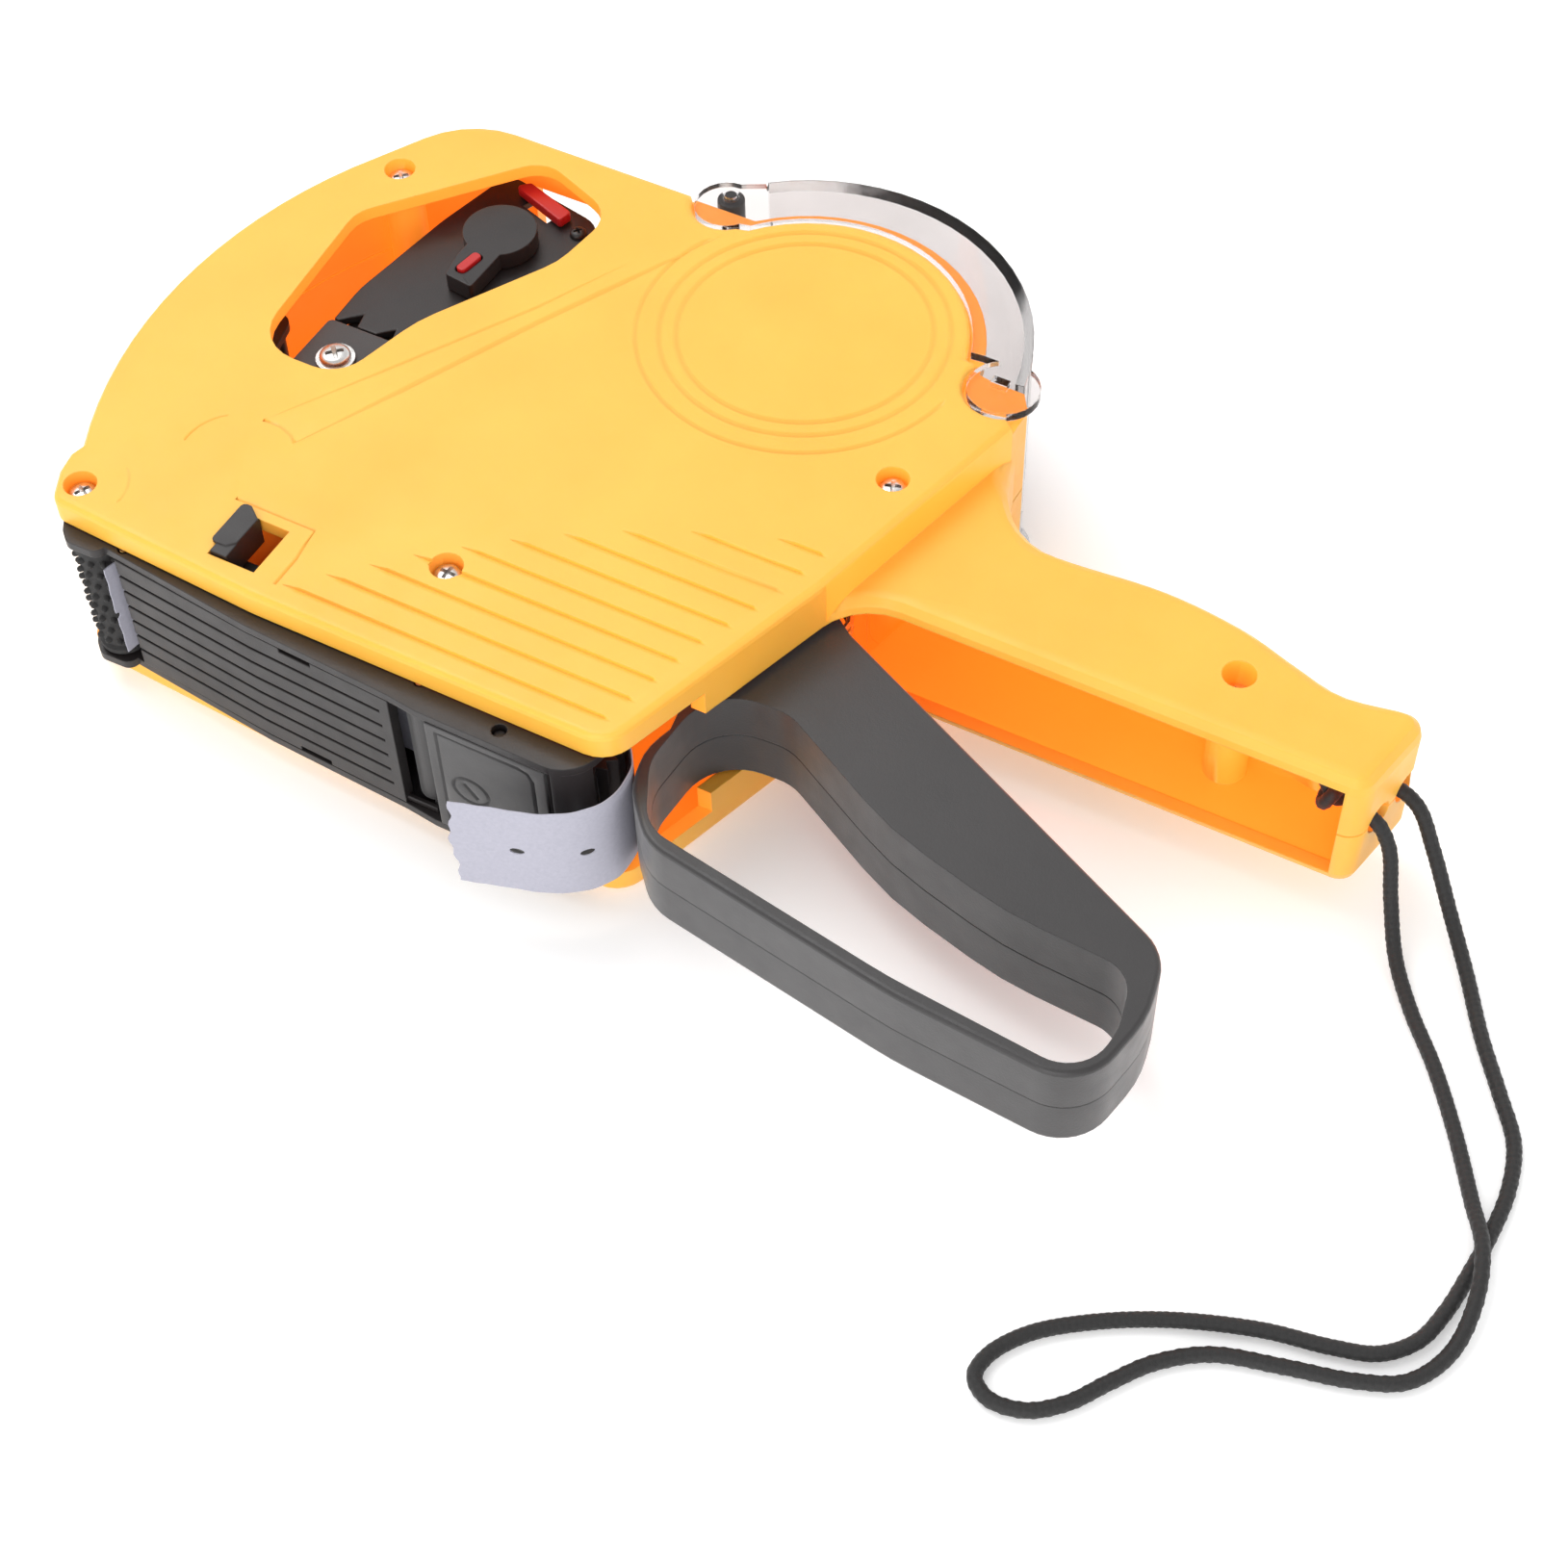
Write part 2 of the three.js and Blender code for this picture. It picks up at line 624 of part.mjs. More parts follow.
function feedWheel() {
  const { r, teeth } = FEED_WHEEL;
  const root = r - 1.5;
  const outline = [];
  for (let i = 0; i < teeth; i += 1) {
    const pitch = 360 / teeth;
    outline.push(...arc(FEED_WHEEL.x, FEED_WHEEL.y, r, i * pitch, i * pitch + 2, 2).slice(0, 2));
    outline.push(...arc(FEED_WHEEL.x, FEED_WHEEL.y, root, i * pitch + 9, i * pitch + 11, 2).slice(0, 2));
  }
  return cut(plate(outline, 12, THICKNESS - 12), disc(FEED_WHEEL, 1.5, 0, THICKNESS, 30));
}

function makeRollers() {
  add('applicator_roller', applicatorRoller(), RUBBER());
  add('applicator_axle', disc(APPLICATOR, 1, FRAME_LOW, FRAME_HIGH, 30), STEEL());
  add('guide_roller', cut(
    disc(GUIDE, GUIDE.r, PANEL_LOW + TONGUE + GAP, PANEL_HIGH - TONGUE - GAP, 10),
    disc(GUIDE, 1.1, 0, THICKNESS, 30),
  ), RUBBER());
  add('guide_roller_axle', disc(GUIDE, 0.8, FRAME_LOW, FRAME_HIGH, 30), STEEL());
  add('feed_wheel', feedWheel(), BLACK());
  add('feed_axle', disc(FEED_WHEEL, 1.2, FRAME_LOW, FRAME_HIGH, 30), STEEL());
}

// A small slide in the face of the upper shell.
function makeSlotCatch() {
  const stem = block(
    SLOT.x0 + GAP, SLOT.x0 + 3.5, SLOT.y0 + GAP, SLOT.y1 - GAP, THICKNESS - 4.8, THICKNESS + 0.6);
  const cap = plate(rounded([
    [-61.3, -87.4, 0.8], [-61.3, -78.2, 0.8], [-59.6, -78.2, 0.4], [-57, -80.2], [-57, -86], [-58.4, -87.4],
  ], 45), THICKNESS + GAP, THICKNESS + 0.9);
  add('slot_catch', join(stem, cap), BLACK());
}

// ---- squeeze lever ----
const LEVER_LOW = MIDDLE - LEVER_WIDTH / 2;
const LEVER_HIGH = MIDDLE + LEVER_WIDTH / 2;

function leverBlade() {
  const outer = rounded([
    [31.2, -46.8, 3], [104.2, -81.6, 9], [106.6, -93, 20], [103.6, -109.2, 9],
    [72, -107.3, 80], [26, -99.9, 10], [18.4, -91.6, 12], [16.6, -84, 12], [19.6, -73.5, 20], [28.2, -51.5],
  ], 10);
  const inner = rounded([
    [19.8, -68.4, 9.5], [33.5, -67.6, 9], [58, -80.6, 60], [80, -86.2, 60], [101.2, -87.2, 6],
    [103.6, -97, 10], [102.6, -107.2, 7], [70, -104.6, 90], [24.6, -97.3, 8], [18.7, -86, 10],
  ], 10);
  const web = [
    [19.4, -47], [17.8, -60], [17.4, -73], [18.6, -80], [26, -62], [36, -50], [31.2, -46.4], [26, -40],
  ];
  return cut(
    join(
      plate(outer, LEVER_LOW, LEVER_HIGH, 0.8),
      plate(web, LEVER_LOW, LEVER_HIGH),
    ),
    plate(inner, 0, THICKNESS),
  );
}

// One of the two arms that carry the print head, from the pivot to the big screw.
function leverArm(z0) {
  const end = [[-79, -44.6, 3], [-79, -29, 1], [-65.6, -29, 1]];
  const outline = rounded([
    ...end,
    [-60, -36, 6],
    [LEVER_PIVOT.x, LEVER_PIVOT.y + HUB_RADIUS],
    [LEVER_PIVOT.x, LEVER_PIVOT.y - HUB_RADIUS],
    [-58, -44.4, 6],
  ]);
  return join(
    plate(outline, z0, z0 + ARM_THICKNESS),
    disc(LEVER_PIVOT, HUB_RADIUS + 0.2, z0, z0 + ARM_THICKNESS),
  );
}

function makeLever() {
  const armLow = MIDDLE - ARM_OUTER;
  const armHigh = MIDDLE + ARM_INNER;
  const hub = disc(LEVER_PIVOT, HUB_RADIUS, armLow, MIDDLE + ARM_OUTER);
  const springPocket = cut(
    disc(LEVER_PIVOT, 8.4, MIDDLE - 2, LEVER_HIGH - 1),
    disc(LEVER_PIVOT, 4.4, 0, THICKNESS),
  );
  const bore = disc(LEVER_PIVOT, 2.5, 0, THICKNESS);
  const screwBores = disc(MAIN_SCREW, 1.8, 0, THICKNESS);
  const lever = join(leverBlade(), hub, leverArm(armLow), leverArm(armHigh));
  add('squeeze_lever', cut(lever, springPocket, bore, screwBores), BLACK());
  add('lever_pin', disc(LEVER_PIVOT, 2.2, WALL + GAP, THICKNESS - WALL - GAP), STEEL());
}

// A torsion spring round the lever's hub, with one leg on the lever and one in the handle.
class SpringPath extends THREE.Curve {
  getPoint(t, target = new THREE.Vector3()) {
    const turns = 3.4;
    const radius = 6.2;
    const angle = radians(200) + 2 * Math.PI * turns * t;
    const z = MIDDLE - 0.4 + 6.6 * t;
    return target.set(
      LEVER_PIVOT.x + radius * Math.cos(angle), LEVER_PIVOT.y + radius * Math.sin(angle), z);
  }
}

function makeSpring() {
  const wire = new THREE.Shape(circle({ x: 0, y: 0 }, 0.6, 60).map(([x, y]) => new THREE.Vector2(x, y)));
  const geometry = new THREE.ExtrudeGeometry(wire, { steps: 44, extrudePath: new SpringPath() });
  add('return_spring', solid(geometry), STEEL());
}

// ---- print head: drawn from the selector axis, u down towards the type, v towards the handle ----
function headPoint(u, v) {
  const lean = radians(HEAD_LEAN);
  return [
    SELECTOR.x + u * Math.sin(lean) + v * Math.cos(lean),
    SELECTOR.y - u * Math.cos(lean) + v * Math.sin(lean),
  ];
}

const headOutline = (list) => rounded(list.map(([u, v, r]) => [...headPoint(u, v), r]));

// The slider lies askew across the top of the head.
function askew(along, across) {
  const lean = radians(-18.6);
  return [
    -60.8 + along * Math.cos(lean) - across * Math.sin(lean),
    12.8 + along * Math.sin(lean) + across * Math.cos(lean),
  ];
}

const askewBox = (a0, a1, c0, c1) => [askew(a0, c0), askew(a1, c0), askew(a1, c1), askew(a0, c1)];

function headPlate(z0) {
  const outline = rounded([
    [-78.5, -28.6], [-78.8, -20, 20], [-75.5, 2, 40], [-71.6, 18.4, 3],
    [-48.6, 13.6, 5], [-48.6, 2, 12], [-56, -12, 25], [-65.4, -28.6],
  ]);
  const sliderSlot = plate(askewBox(-3.5, 3.2, -1.9, 0.6), 0, THICKNESS);
  const notches = [
    [[-78, -29], [-74.4, -25.4], [-73.6, -29]],
    [[-70.2, -29], [-67.2, -26], [-66.4, -29]],
  ].map((notch) => plate(notch, 0, THICKNESS));
  const shaftHole = disc(SELECTOR, 4.5, 0, THICKNESS);
  const screwHole = disc(SMALL_SCREW, 1, 0, THICKNESS, 30);
  return cut(plate(outline, z0, z0 + ARM_THICKNESS), sliderSlot, ...notches, shaftHole, screwHole);
}

function headBlock() {
  const outer = headOutline([
    [-7, -6, 3], [40, -6, 4], [51, 0.2, 2], [59.4, 0.2], [59.4, 8.6], [40, 9, 4], [-7, 9, 3],
  ]);
  const pocket = headOutline([
    [-6, -5], [39.5, -5], [51, 1.2], [61, 1.2], [61, 7.6], [40, 7.9], [-6, 7.9],
  ]);
  const low = MIDDLE - ARM_INNER + GAP;
  const high = MIDDLE + ARM_INNER - GAP;
  const screwBore = disc(MAIN_SCREW, 1.8, 0, THICKNESS);
  const shaftHole = disc(SELECTOR, 4.5, 0, THICKNESS);
  const hollow = cut(plate(outer, low, high), plate(pocket, low + 1.2, high - 1.2));
  const bosses = [low + 0.6, high - 2.4].map((z) => disc(MAIN_SCREW, 2.8, z, z + 1.8));
  return cut(join(hollow, ...bosses), screwBore, shaftHole);
}

function typeBand(z0) {
  const thickness = 0.9;
  const belt = (less) => headOutline([
    [-4.6 + less, -4.7 + less, 4.4 - less],
    [60.4 - less, 2.7 + less, 1.8 - less],
    [60.4 - less, 6.5 - less, 1.8 - less],
    [-4.6 + less, 4.7 - less, 4.4 - less],
  ]);
  return cut(
    plate(belt(0), z0, z0 + BAND_WIDTH),
    plate(belt(thickness), z0 - 1, z0 + BAND_WIDTH + 1),
  );
}

function makePrintHead() {
  add('head_plate_upper', headPlate(MIDDLE + ARM_INNER), BLACK());
  add('head_plate_lower', headPlate(MIDDLE - ARM_OUTER), BLACK());
  add('head_block', headBlock(), BLACK());
  for (let i = 0; i < BAND_COUNT; i += 1) {
    const z0 = MIDDLE + BAND_PITCH * (i - BAND_COUNT / 2) + (BAND_PITCH - BAND_WIDTH) / 2;
    add(`type_band_${i + 1}`, typeBand(z0), RUBBER());
  }
}

const HEAD_TOP = MIDDLE + ARM_OUTER;
const KNOB_HEIGHT = 3.4;

function makeSelector() {
  const tail = [[-65.6, -3], [-58.8, -4.2], [-59, -14, 0.6], [-64.8, -13.2, 0.6], [-65.6, -8]];
  const pointerPocket = rounded([
    [-64.2, -11.6, 1], [-63.2, -5.9, 1], [-60.8, -6.3, 1], [-61.8, -12, 1],
  ], 30);
  const z0 = HEAD_TOP + GAP;
  const knob = join(
    disc(SELECTOR, 6.7, z0, z0 + KNOB_HEIGHT, 10),
    plate(rounded(tail), z0, z0 + KNOB_HEIGHT),
  );
  const pocket = plate(pointerPocket, z0 + 1.2, z0 + KNOB_HEIGHT + 1);
  add('selector_knob', cut(knob, pocket), BLACK());
  add('selector_pointer', plate(inset(pointerPocket, GAP), z0 + 1.5, z0 + KNOB_HEIGHT + 0.5), RED());
  add('selector_shaft', disc(SELECTOR, 1.6, MIDDLE - ARM_INNER + 2, HEAD_TOP, 20), STEEL());
  const slider = rounded([
    [...askew(-6.4, -1), 0.6], [...askew(-5, 1.6), 0.6],
    [...askew(6.2, 1.6), 0.6], [...askew(6.4, -1.4), 0.6],
  ], 30);
  add('lock_slider', plate(slider, z0, z0 + 2), RED());
}

function makeHeadScrews() {
  const armHigh = HEAD_TOP;
  const armLow = THICKNESS - HEAD_TOP;
  add('head_screw_small', crossScrew(SMALL_SCREW, 1.9, 0.7, armHigh - 3.8, armHigh + 1.2, 0.9), BLACK());
  add('head_washer', cut(
    disc(MAIN_SCREW, 3.5, armHigh + GAP, armHigh + 0.8),
    disc(MAIN_SCREW, 1.8, 0, THICKNESS, 30),
  ), STEEL());
  add('head_screw_main', crossScrew(MAIN_SCREW, 2.8, 1.5, armHigh - 4, armHigh + 2.2, 1.1), STEEL());
  add('head_rivet', turned(MAIN_SCREW, [
    [0, armLow - 2],
    [2, armLow - 2],
    [2.8, armLow - 1.2],
    [2.8, armLow - GAP],
    [1.5, armLow - GAP],
    [1.5, armLow + 4],
    [0, armLow + 4],
  ], 20), STEEL());
}

// ---- ink roller in its swinging holder ----
function makeInkRoller() {
  const side = (z0) => plate(rounded([
    [-93, -30, 2.8], [-86.8, -30, 2.8], [-79.6, -61, 3], [-83.5, -65.6, 3], [-87, -61, 3],
  ]), z0, z0 + 1.5);
  const low = MIDDLE - ARM_INNER + 0.6;
  const high = MIDDLE + ARM_INNER - 0.6;
  const bridge = plate([[-92, -36.6], [-87.2, -36.6], [-86.8, -40], [-90.8, -40]], low, high);
  const tab = plate([[-92.4, -29], [-88, -24], [-86.2, -25.4], [-88, -31]], low, low + 1.5);
  const holder = join(side(low), side(high - 1.5), bridge, tab, disc(INK_PIVOT, 2.5, low, high));
  const bores = [disc(INK_PIVOT, 1.5, 0, THICKNESS, 30), disc(INK_ROLLER, 1.2, 0, THICKNESS, 30)];
  add('ink_holder', cut(holder, ...bores), BLACK());
  add('ink_holder_pin', disc(INK_PIVOT, 1.2, WALL + GAP, THICKNESS - WALL - GAP, 30), STEEL());
  add('ink_axle', disc(INK_ROLLER, 0.9, low, high, 30), STEEL());
  add('ink_roller', cut(
    disc(INK_ROLLER, INK_ROLLER.r, low + 2, high - 2),
    disc(INK_ROLLER, 1.2, 0, THICKNESS, 30),
  ), RUBBER());
}

// ---- lanyard: one cord, out of one hole in the handle's end and back into the other ----
const FLOOR = 1.4;
const LANYARD_ROUTE = [
  [116.8, -31.6, 20], [121, -30, 20], [125.5, -30.5, 18.2], [130, -33, 12.5], [135.8, -38, 5.6],
  [142, -45.5, 2], [148, -55, FLOOR], [154, -63.5, FLOOR], [159, -71, FLOOR], [161, -79, FLOOR],
  [161.2, -87, FLOOR], [160.7, -95, FLOOR], [159.8, -102.5, FLOOR], [158, -108.5, FLOOR],
  [153.8, -113, FLOOR], [147.5, -115.2, FLOOR], [137.5, -117.4, FLOOR], [125, -122.2, FLOOR],
  [115, -128, FLOOR], [108, -133.8, FLOOR], [104.4, -139.6, FLOOR], [104.2, -143.4, FLOOR],
  [107.3, -145.6, FLOOR], [112.8, -144.8, FLOOR], [117.6, -141, FLOOR], [121.6, -135.2, FLOOR],
  [126, -129.4, FLOOR], [132.6, -124.4, FLOOR], [142.6, -121.3, FLOOR], [152.4, -118.6, FLOOR],
  [159, -115.2, FLOOR], [162.8, -108.4, 1.7], [163.2, -100, 3.4], [161, -91.5, 4.3],
  [157, -84.2, 2.6], [150.3, -73, FLOOR], [143.5, -63.6, FLOOR], [136.5, -55.4, FLOOR],
  [131, -48, 2.6], [127, -41.8, 8], [124, -38, 15.5], [120.6, -37.3, 19.6], [116.6, -37.6, 20],
];

function makeLanyard() {
  const route = new THREE.CatmullRomCurve3(LANYARD_ROUTE.map((p) => new THREE.Vector3(...p)));
  const section = new THREE.Shape(
    circle({ x: 0, y: 0 }, CORD_RADIUS, 45).map(([x, y]) => new THREE.Vector2(x, y)));
  const geometry = new THREE.ExtrudeGeometry(section, { steps: 78, extrudePath: route });
  add('lanyard', solid(geometry), CORD());
  const knot = new THREE.SphereGeometry(3.3, 14, 10);
  knot.scale(1, 1.2, 1);
  knot.translate(112.9, -35.2, MIDDLE + 0.5);
  add('lanyard_knot', solid(knot), CORD());
}

makeShells();
makeRoll();
makeCover();
makePaper();
makeBaseFrame();
makeBaseCover();
makeBaseLatch();
makeRollers();
makeSlotCatch();
makeLever();
makeSpring();
makePrintHead();
makeSelector();
makeHeadScrews();
makeInkRoller();
makeLanyard();

// The middle of the gun's box, without its lanyard, comes to the origin.
const hard = gun.children.filter((mesh) => mesh.name !== 'lanyard');
const box = hard.reduce((sum, mesh) => sum.expandByObject(mesh), new THREE.Box3());
gun.position.set(-(box.min.x + box.max.x) / 2, -(box.min.y + box.max.y) / 2, -box.min.z);

export default gun;
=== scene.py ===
"""Looks of a price labeling gun that lies on a pale table, built round its CAD part.

Positions are given as in the gun's drawing, in millimetres: x runs along the base from the nose
to the handle, y from the base towards the roll cover, z up from the table. The axis of the label
roll is at x = 0, y = 0.
"""

import json
import math

import bmesh
import bpy
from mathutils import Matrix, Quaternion, Vector
from mathutils.bvhtree import BVHTree

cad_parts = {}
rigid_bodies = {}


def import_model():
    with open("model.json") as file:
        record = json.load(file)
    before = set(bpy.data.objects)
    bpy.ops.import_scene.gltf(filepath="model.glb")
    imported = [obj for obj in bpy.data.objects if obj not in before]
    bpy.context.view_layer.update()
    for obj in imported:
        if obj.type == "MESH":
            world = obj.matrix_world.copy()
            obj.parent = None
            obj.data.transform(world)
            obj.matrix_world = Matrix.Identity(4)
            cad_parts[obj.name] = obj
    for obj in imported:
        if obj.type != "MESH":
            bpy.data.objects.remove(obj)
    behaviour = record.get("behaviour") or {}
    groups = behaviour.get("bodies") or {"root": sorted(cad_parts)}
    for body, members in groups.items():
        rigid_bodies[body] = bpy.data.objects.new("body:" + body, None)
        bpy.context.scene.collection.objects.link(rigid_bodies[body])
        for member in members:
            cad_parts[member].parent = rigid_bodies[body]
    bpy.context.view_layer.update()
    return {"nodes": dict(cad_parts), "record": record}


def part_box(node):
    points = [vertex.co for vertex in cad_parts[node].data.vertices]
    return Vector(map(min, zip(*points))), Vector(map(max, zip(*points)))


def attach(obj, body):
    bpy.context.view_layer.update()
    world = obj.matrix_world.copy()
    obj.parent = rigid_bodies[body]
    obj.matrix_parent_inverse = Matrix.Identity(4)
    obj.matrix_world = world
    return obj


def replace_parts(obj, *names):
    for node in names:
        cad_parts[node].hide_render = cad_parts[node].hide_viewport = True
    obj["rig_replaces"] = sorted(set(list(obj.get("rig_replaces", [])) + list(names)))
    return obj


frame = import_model()

MM = 0.001
FACE = 40.0
MIDDLE = FACE / 2

roll_low, roll_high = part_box("label_roll")
ROLL_AXIS = (roll_low + roll_high) / 2
BODY_OF = {
    node: body
    for body, nodes in frame["record"]["behaviour"]["bodies"].items()
    for node in nodes
}
SLOT_OF = {part["node"]: part["material_slot"] for part in frame["record"]["subparts"]}


def place(x, y, z):
    """A point of the drawing, in the row frame."""
    return Vector((ROLL_AXIS.x + x * MM, ROLL_AXIS.y + y * MM, z * MM))


# ---- camera ----
EYE = (175.3, -316.2, 377.1)
AIM = (35.9, -74.2, 20.0)
CAMERA_ROLL = -1.76
LENS = 65.8


def make_camera():
    """The main camera, in front of the base and above it."""
    data = bpy.data.cameras.new("camera")
    data.lens = LENS
    data.sensor_width = 36
    data.clip_start = 0.01
    data.clip_end = 20
    camera = bpy.data.objects.new("camera", data)
    bpy.context.collection.objects.link(camera)
    eye = place(*EYE)
    look = (place(*AIM) - eye).to_track_quat("-Z", "Y")
    camera.rotation_mode = "QUATERNION"
    camera.rotation_quaternion = look @ Quaternion((0, 0, 1), math.radians(CAMERA_ROLL))
    camera.location = eye
    bpy.context.scene.camera = camera


make_camera()


# ---- small tools ----
UP = Vector((0, 0, 1))
DOWN = Vector((0, 0, -1))


def new_object(name, vertices, faces, smooth=True):
    """An object with a mesh of its own, in the scene."""
    mesh = bpy.data.meshes.new(name)
    mesh.from_pydata([tuple(v) for v in vertices], [], faces)
    mesh.polygons.foreach_set("use_smooth", [smooth] * len(faces))
    mesh.update()
    obj = bpy.data.objects.new(name, mesh)
    bpy.context.collection.objects.link(obj)
    return obj


def outwards(obj):
    """Turns every face of a closed mesh outwards."""
    bm = bmesh.new()
    bm.from_mesh(obj.data)
    bmesh.ops.recalc_face_normals(bm, faces=bm.faces)
    bm.to_mesh(obj.data)
    bm.free()
    return obj


def sharp_over(obj, degrees):
    """Smooth shading with sharp edges over an angle, and with flat faces kept flat."""
    obj.data.polygons.foreach_set("use_smooth", [True] * len(obj.data.polygons))
    obj.data.set_sharp_from_angle(angle=math.radians(degrees))
    weighted = obj.modifiers.new("flat_faces", "WEIGHTED_NORMAL")
    weighted.keep_sharp = True
    weighted.mode = "FACE_AREA"
    apply_modifiers(obj)


def arc(cx, cy, radius, start, end, count):
    """Points on an arc from start to end, in degrees."""
    points = []
    for i in range(count + 1):
        angle = math.radians(start + (end - start) * i / count)
        points.append((cx + radius * math.cos(angle), cy + radius * math.sin(angle)))
    return points


def catmull_rom(points, per_span):
    """A centripetal Catmull-Rom curve through the points."""
    points = [Vector(p) for p in points]
    first = points[0] * 2 - points[1]
    last = points[-1] * 2 - points[-2]
    points = [first, *points, last]
    curve = []
    for p0, p1, p2, p3 in zip(points, points[1:], points[2:], points[3:]):
        t1 = math.sqrt((p1 - p0).length)
        t2 = t1 + math.sqrt((p2 - p1).length)
        t3 = t2 + math.sqrt((p3 - p2).length)
        for i in range(per_span):
            t = t1 + (t2 - t1) * i / per_span
            a1 = p0.lerp(p1, t / t1)
            a2 = p1.lerp(p2, (t - t1) / (t2 - t1))
            a3 = p2.lerp(p3, (t - t2) / (t3 - t2))
            b1 = a1.lerp(a2, t / t2)
            b2 = a2.lerp(a3, (t - t1) / (t3 - t1))
            curve.append(b1.lerp(b2, (t - t1) / (t2 - t1)))
    curve.append(points[-2])
    return curve


def even_steps(curve, step):
    """Points along a curve at equal distances."""
    lengths = [0.0]
    for a, b in zip(curve, curve[1:]):
        lengths.append(lengths[-1] + (b - a).length)
    count = max(2, round(lengths[-1] / step))
    result = []
    index = 0
    for i in range(count + 1):
        wanted = lengths[-1] * i / count
        while index < len(curve) - 2 and lengths[index + 1] < wanted:
            index += 1
        span = lengths[index + 1] - lengths[index]
        result.append(curve[index].lerp(curve[index + 1], (wanted - lengths[index]) / span))
    return result


# ---- materials ----
class Nodes:
    """Adds shader nodes to a material and links them."""

    def __init__(self, name):
        self.material = bpy.data.materials.new(name)
        self.material.use_nodes = True
        self.tree = self.material.node_tree
        self.shader = self.tree.nodes["Principled BSDF"]
        self.coordinates = self.tree.nodes.new("ShaderNodeTexCoord").outputs["Object"]

    def add(self, kind, **values):
        """A new node. Each value sets a property of it or, failing that, an input."""
        node = self.tree.nodes.new(kind)
        for key, value in values.items():
            if hasattr(node, key):
                setattr(node, key, value)
            else:
                node.inputs[key.replace("_", " ")].default_value = value
        return node

    def link(self, source, target):
        self.tree.links.new(source, target)

    def set(self, name, value):
        """Sets an input of the shader."""
        self.shader.inputs[name].default_value = value

    def drive(self, name, source):
        """Links a node's output to an input of the shader."""
        self.link(source, self.shader.inputs[name])

    def noise(self, per_metre, detail=3.0, roughness=0.5):
        """Noise from 0 to 1, with its coarsest grains per_metre."""
        node = self.add("ShaderNodeTexNoise", Scale=per_metre, Detail=detail, Roughness=roughness)
        self.link(self.coordinates, node.inputs["Vector"])
        return node.outputs["Fac"]

    def spread(self, source, low, high):
        """The middle part of a noise, spread from low to high."""
        node = self.add("ShaderNodeMapRange", From_Min=0.3, From_Max=0.7, To_Min=low, To_Max=high)
        self.link(source, node.inputs["Value"])
        return node.outputs["Result"]

    def two_colours(self, source, first, second):
        """A colour between two, that follows a noise."""
        node = self.add("ShaderNodeValToRGB")
        node.color_ramp.elements[0].position = 0.3
        node.color_ramp.elements[1].position = 0.7
        node.color_ramp.elements[0].color = (*first, 1)
        node.color_ramp.elements[1].color = (*second, 1)
        self.link(source, node.inputs["Fac"])
        return node.outputs["Color"]

    def bump(self, height, strength, distance, normal=None):
        """A normal that leans with a height, on top of another normal if one is given."""
        node = self.add("ShaderNodeBump", Strength=strength, Distance=distance)
        self.link(height, node.inputs["Height"])
        if normal is not None:
            self.link(normal, node.inputs["Normal"])
        return node.outputs["Normal"]


# The radius of the edges that only the shading softens, in metres.
SOFT_EDGE = 0.0003
# How deep red, green and blue light go into the plastic, as shares of the scale.
LIGHT_DEPTH = (1.0, 0.45, 0.08)


def plastic_nodes(name, dark, light, roughness, grain, glow=0.0, sheen=0.0):
    """Moulded plastic: fine grain, faint flow marks in its colour and softened edges.

    glow is the share of light that goes through it, which gives thin walls a warm shade, and
    sheen the pale bloom of a satin surface seen at a low angle.
    """
    nodes = Nodes(name)
    nodes.set("Subsurface Weight", glow)
    nodes.set("Subsurface Radius", LIGHT_DEPTH)
    nodes.set("Subsurface Scale", 0.002)
    nodes.set("Sheen Weight", sheen)
    nodes.set("Sheen Roughness", 0.6)
    nodes.drive("Base Color", nodes.two_colours(nodes.noise(45, 4), dark, light))
    nodes.drive(
        "Roughness", nodes.spread(nodes.noise(220, 5), roughness - 0.06, roughness + 0.06))
    soft = nodes.add("ShaderNodeBevel", samples=4, Radius=SOFT_EDGE).outputs["Normal"]
    nodes.drive("Normal", nodes.bump(nodes.noise(2600, 2, 0.7), grain, 0.00004, soft))
    return nodes


def plastic(name, dark, light, roughness, grain, glow=0.0, sheen=0.0):
    return plastic_nodes(name, dark, light, roughness, grain, glow, sheen).material


def rubber(name, dark, light):
    """Rubber with a fine, dull grain."""
    nodes = Nodes(name)
    nodes.drive("Base Color", nodes.two_colours(nodes.noise(500, 6), dark, light))
    nodes.set("Roughness", 0.75)
    nodes.drive("Normal", nodes.bump(nodes.noise(3000, 3), 0.5, 0.00005))
    return nodes.material


def steel(name):
    """Zinc plated steel with fine scratches."""
    nodes = Nodes(name)
    stretch = nodes.add("ShaderNodeMapping")
    stretch.inputs["Scale"].default_value = (400, 400, 4000)
    nodes.link(nodes.coordinates, stretch.inputs["Vector"])
    scratches = nodes.add("ShaderNodeTexNoise", Scale=1.0, Detail=4.0)
    nodes.link(stretch.outputs["Vector"], scratches.inputs["Vector"])
    colours = nodes.two_colours(nodes.noise(600, 4), (0.52, 0.51, 0.49), (0.78, 0.77, 0.76))
    nodes.drive("Base Color", colours)
    nodes.set("Metallic", 1)
    nodes.drive("Roughness", nodes.spread(scratches.outputs["Fac"], 0.2, 0.4))
    nodes.drive("Normal", nodes.bump(scratches.outputs["Fac"], 0.25, 0.00004))
    return nodes.material


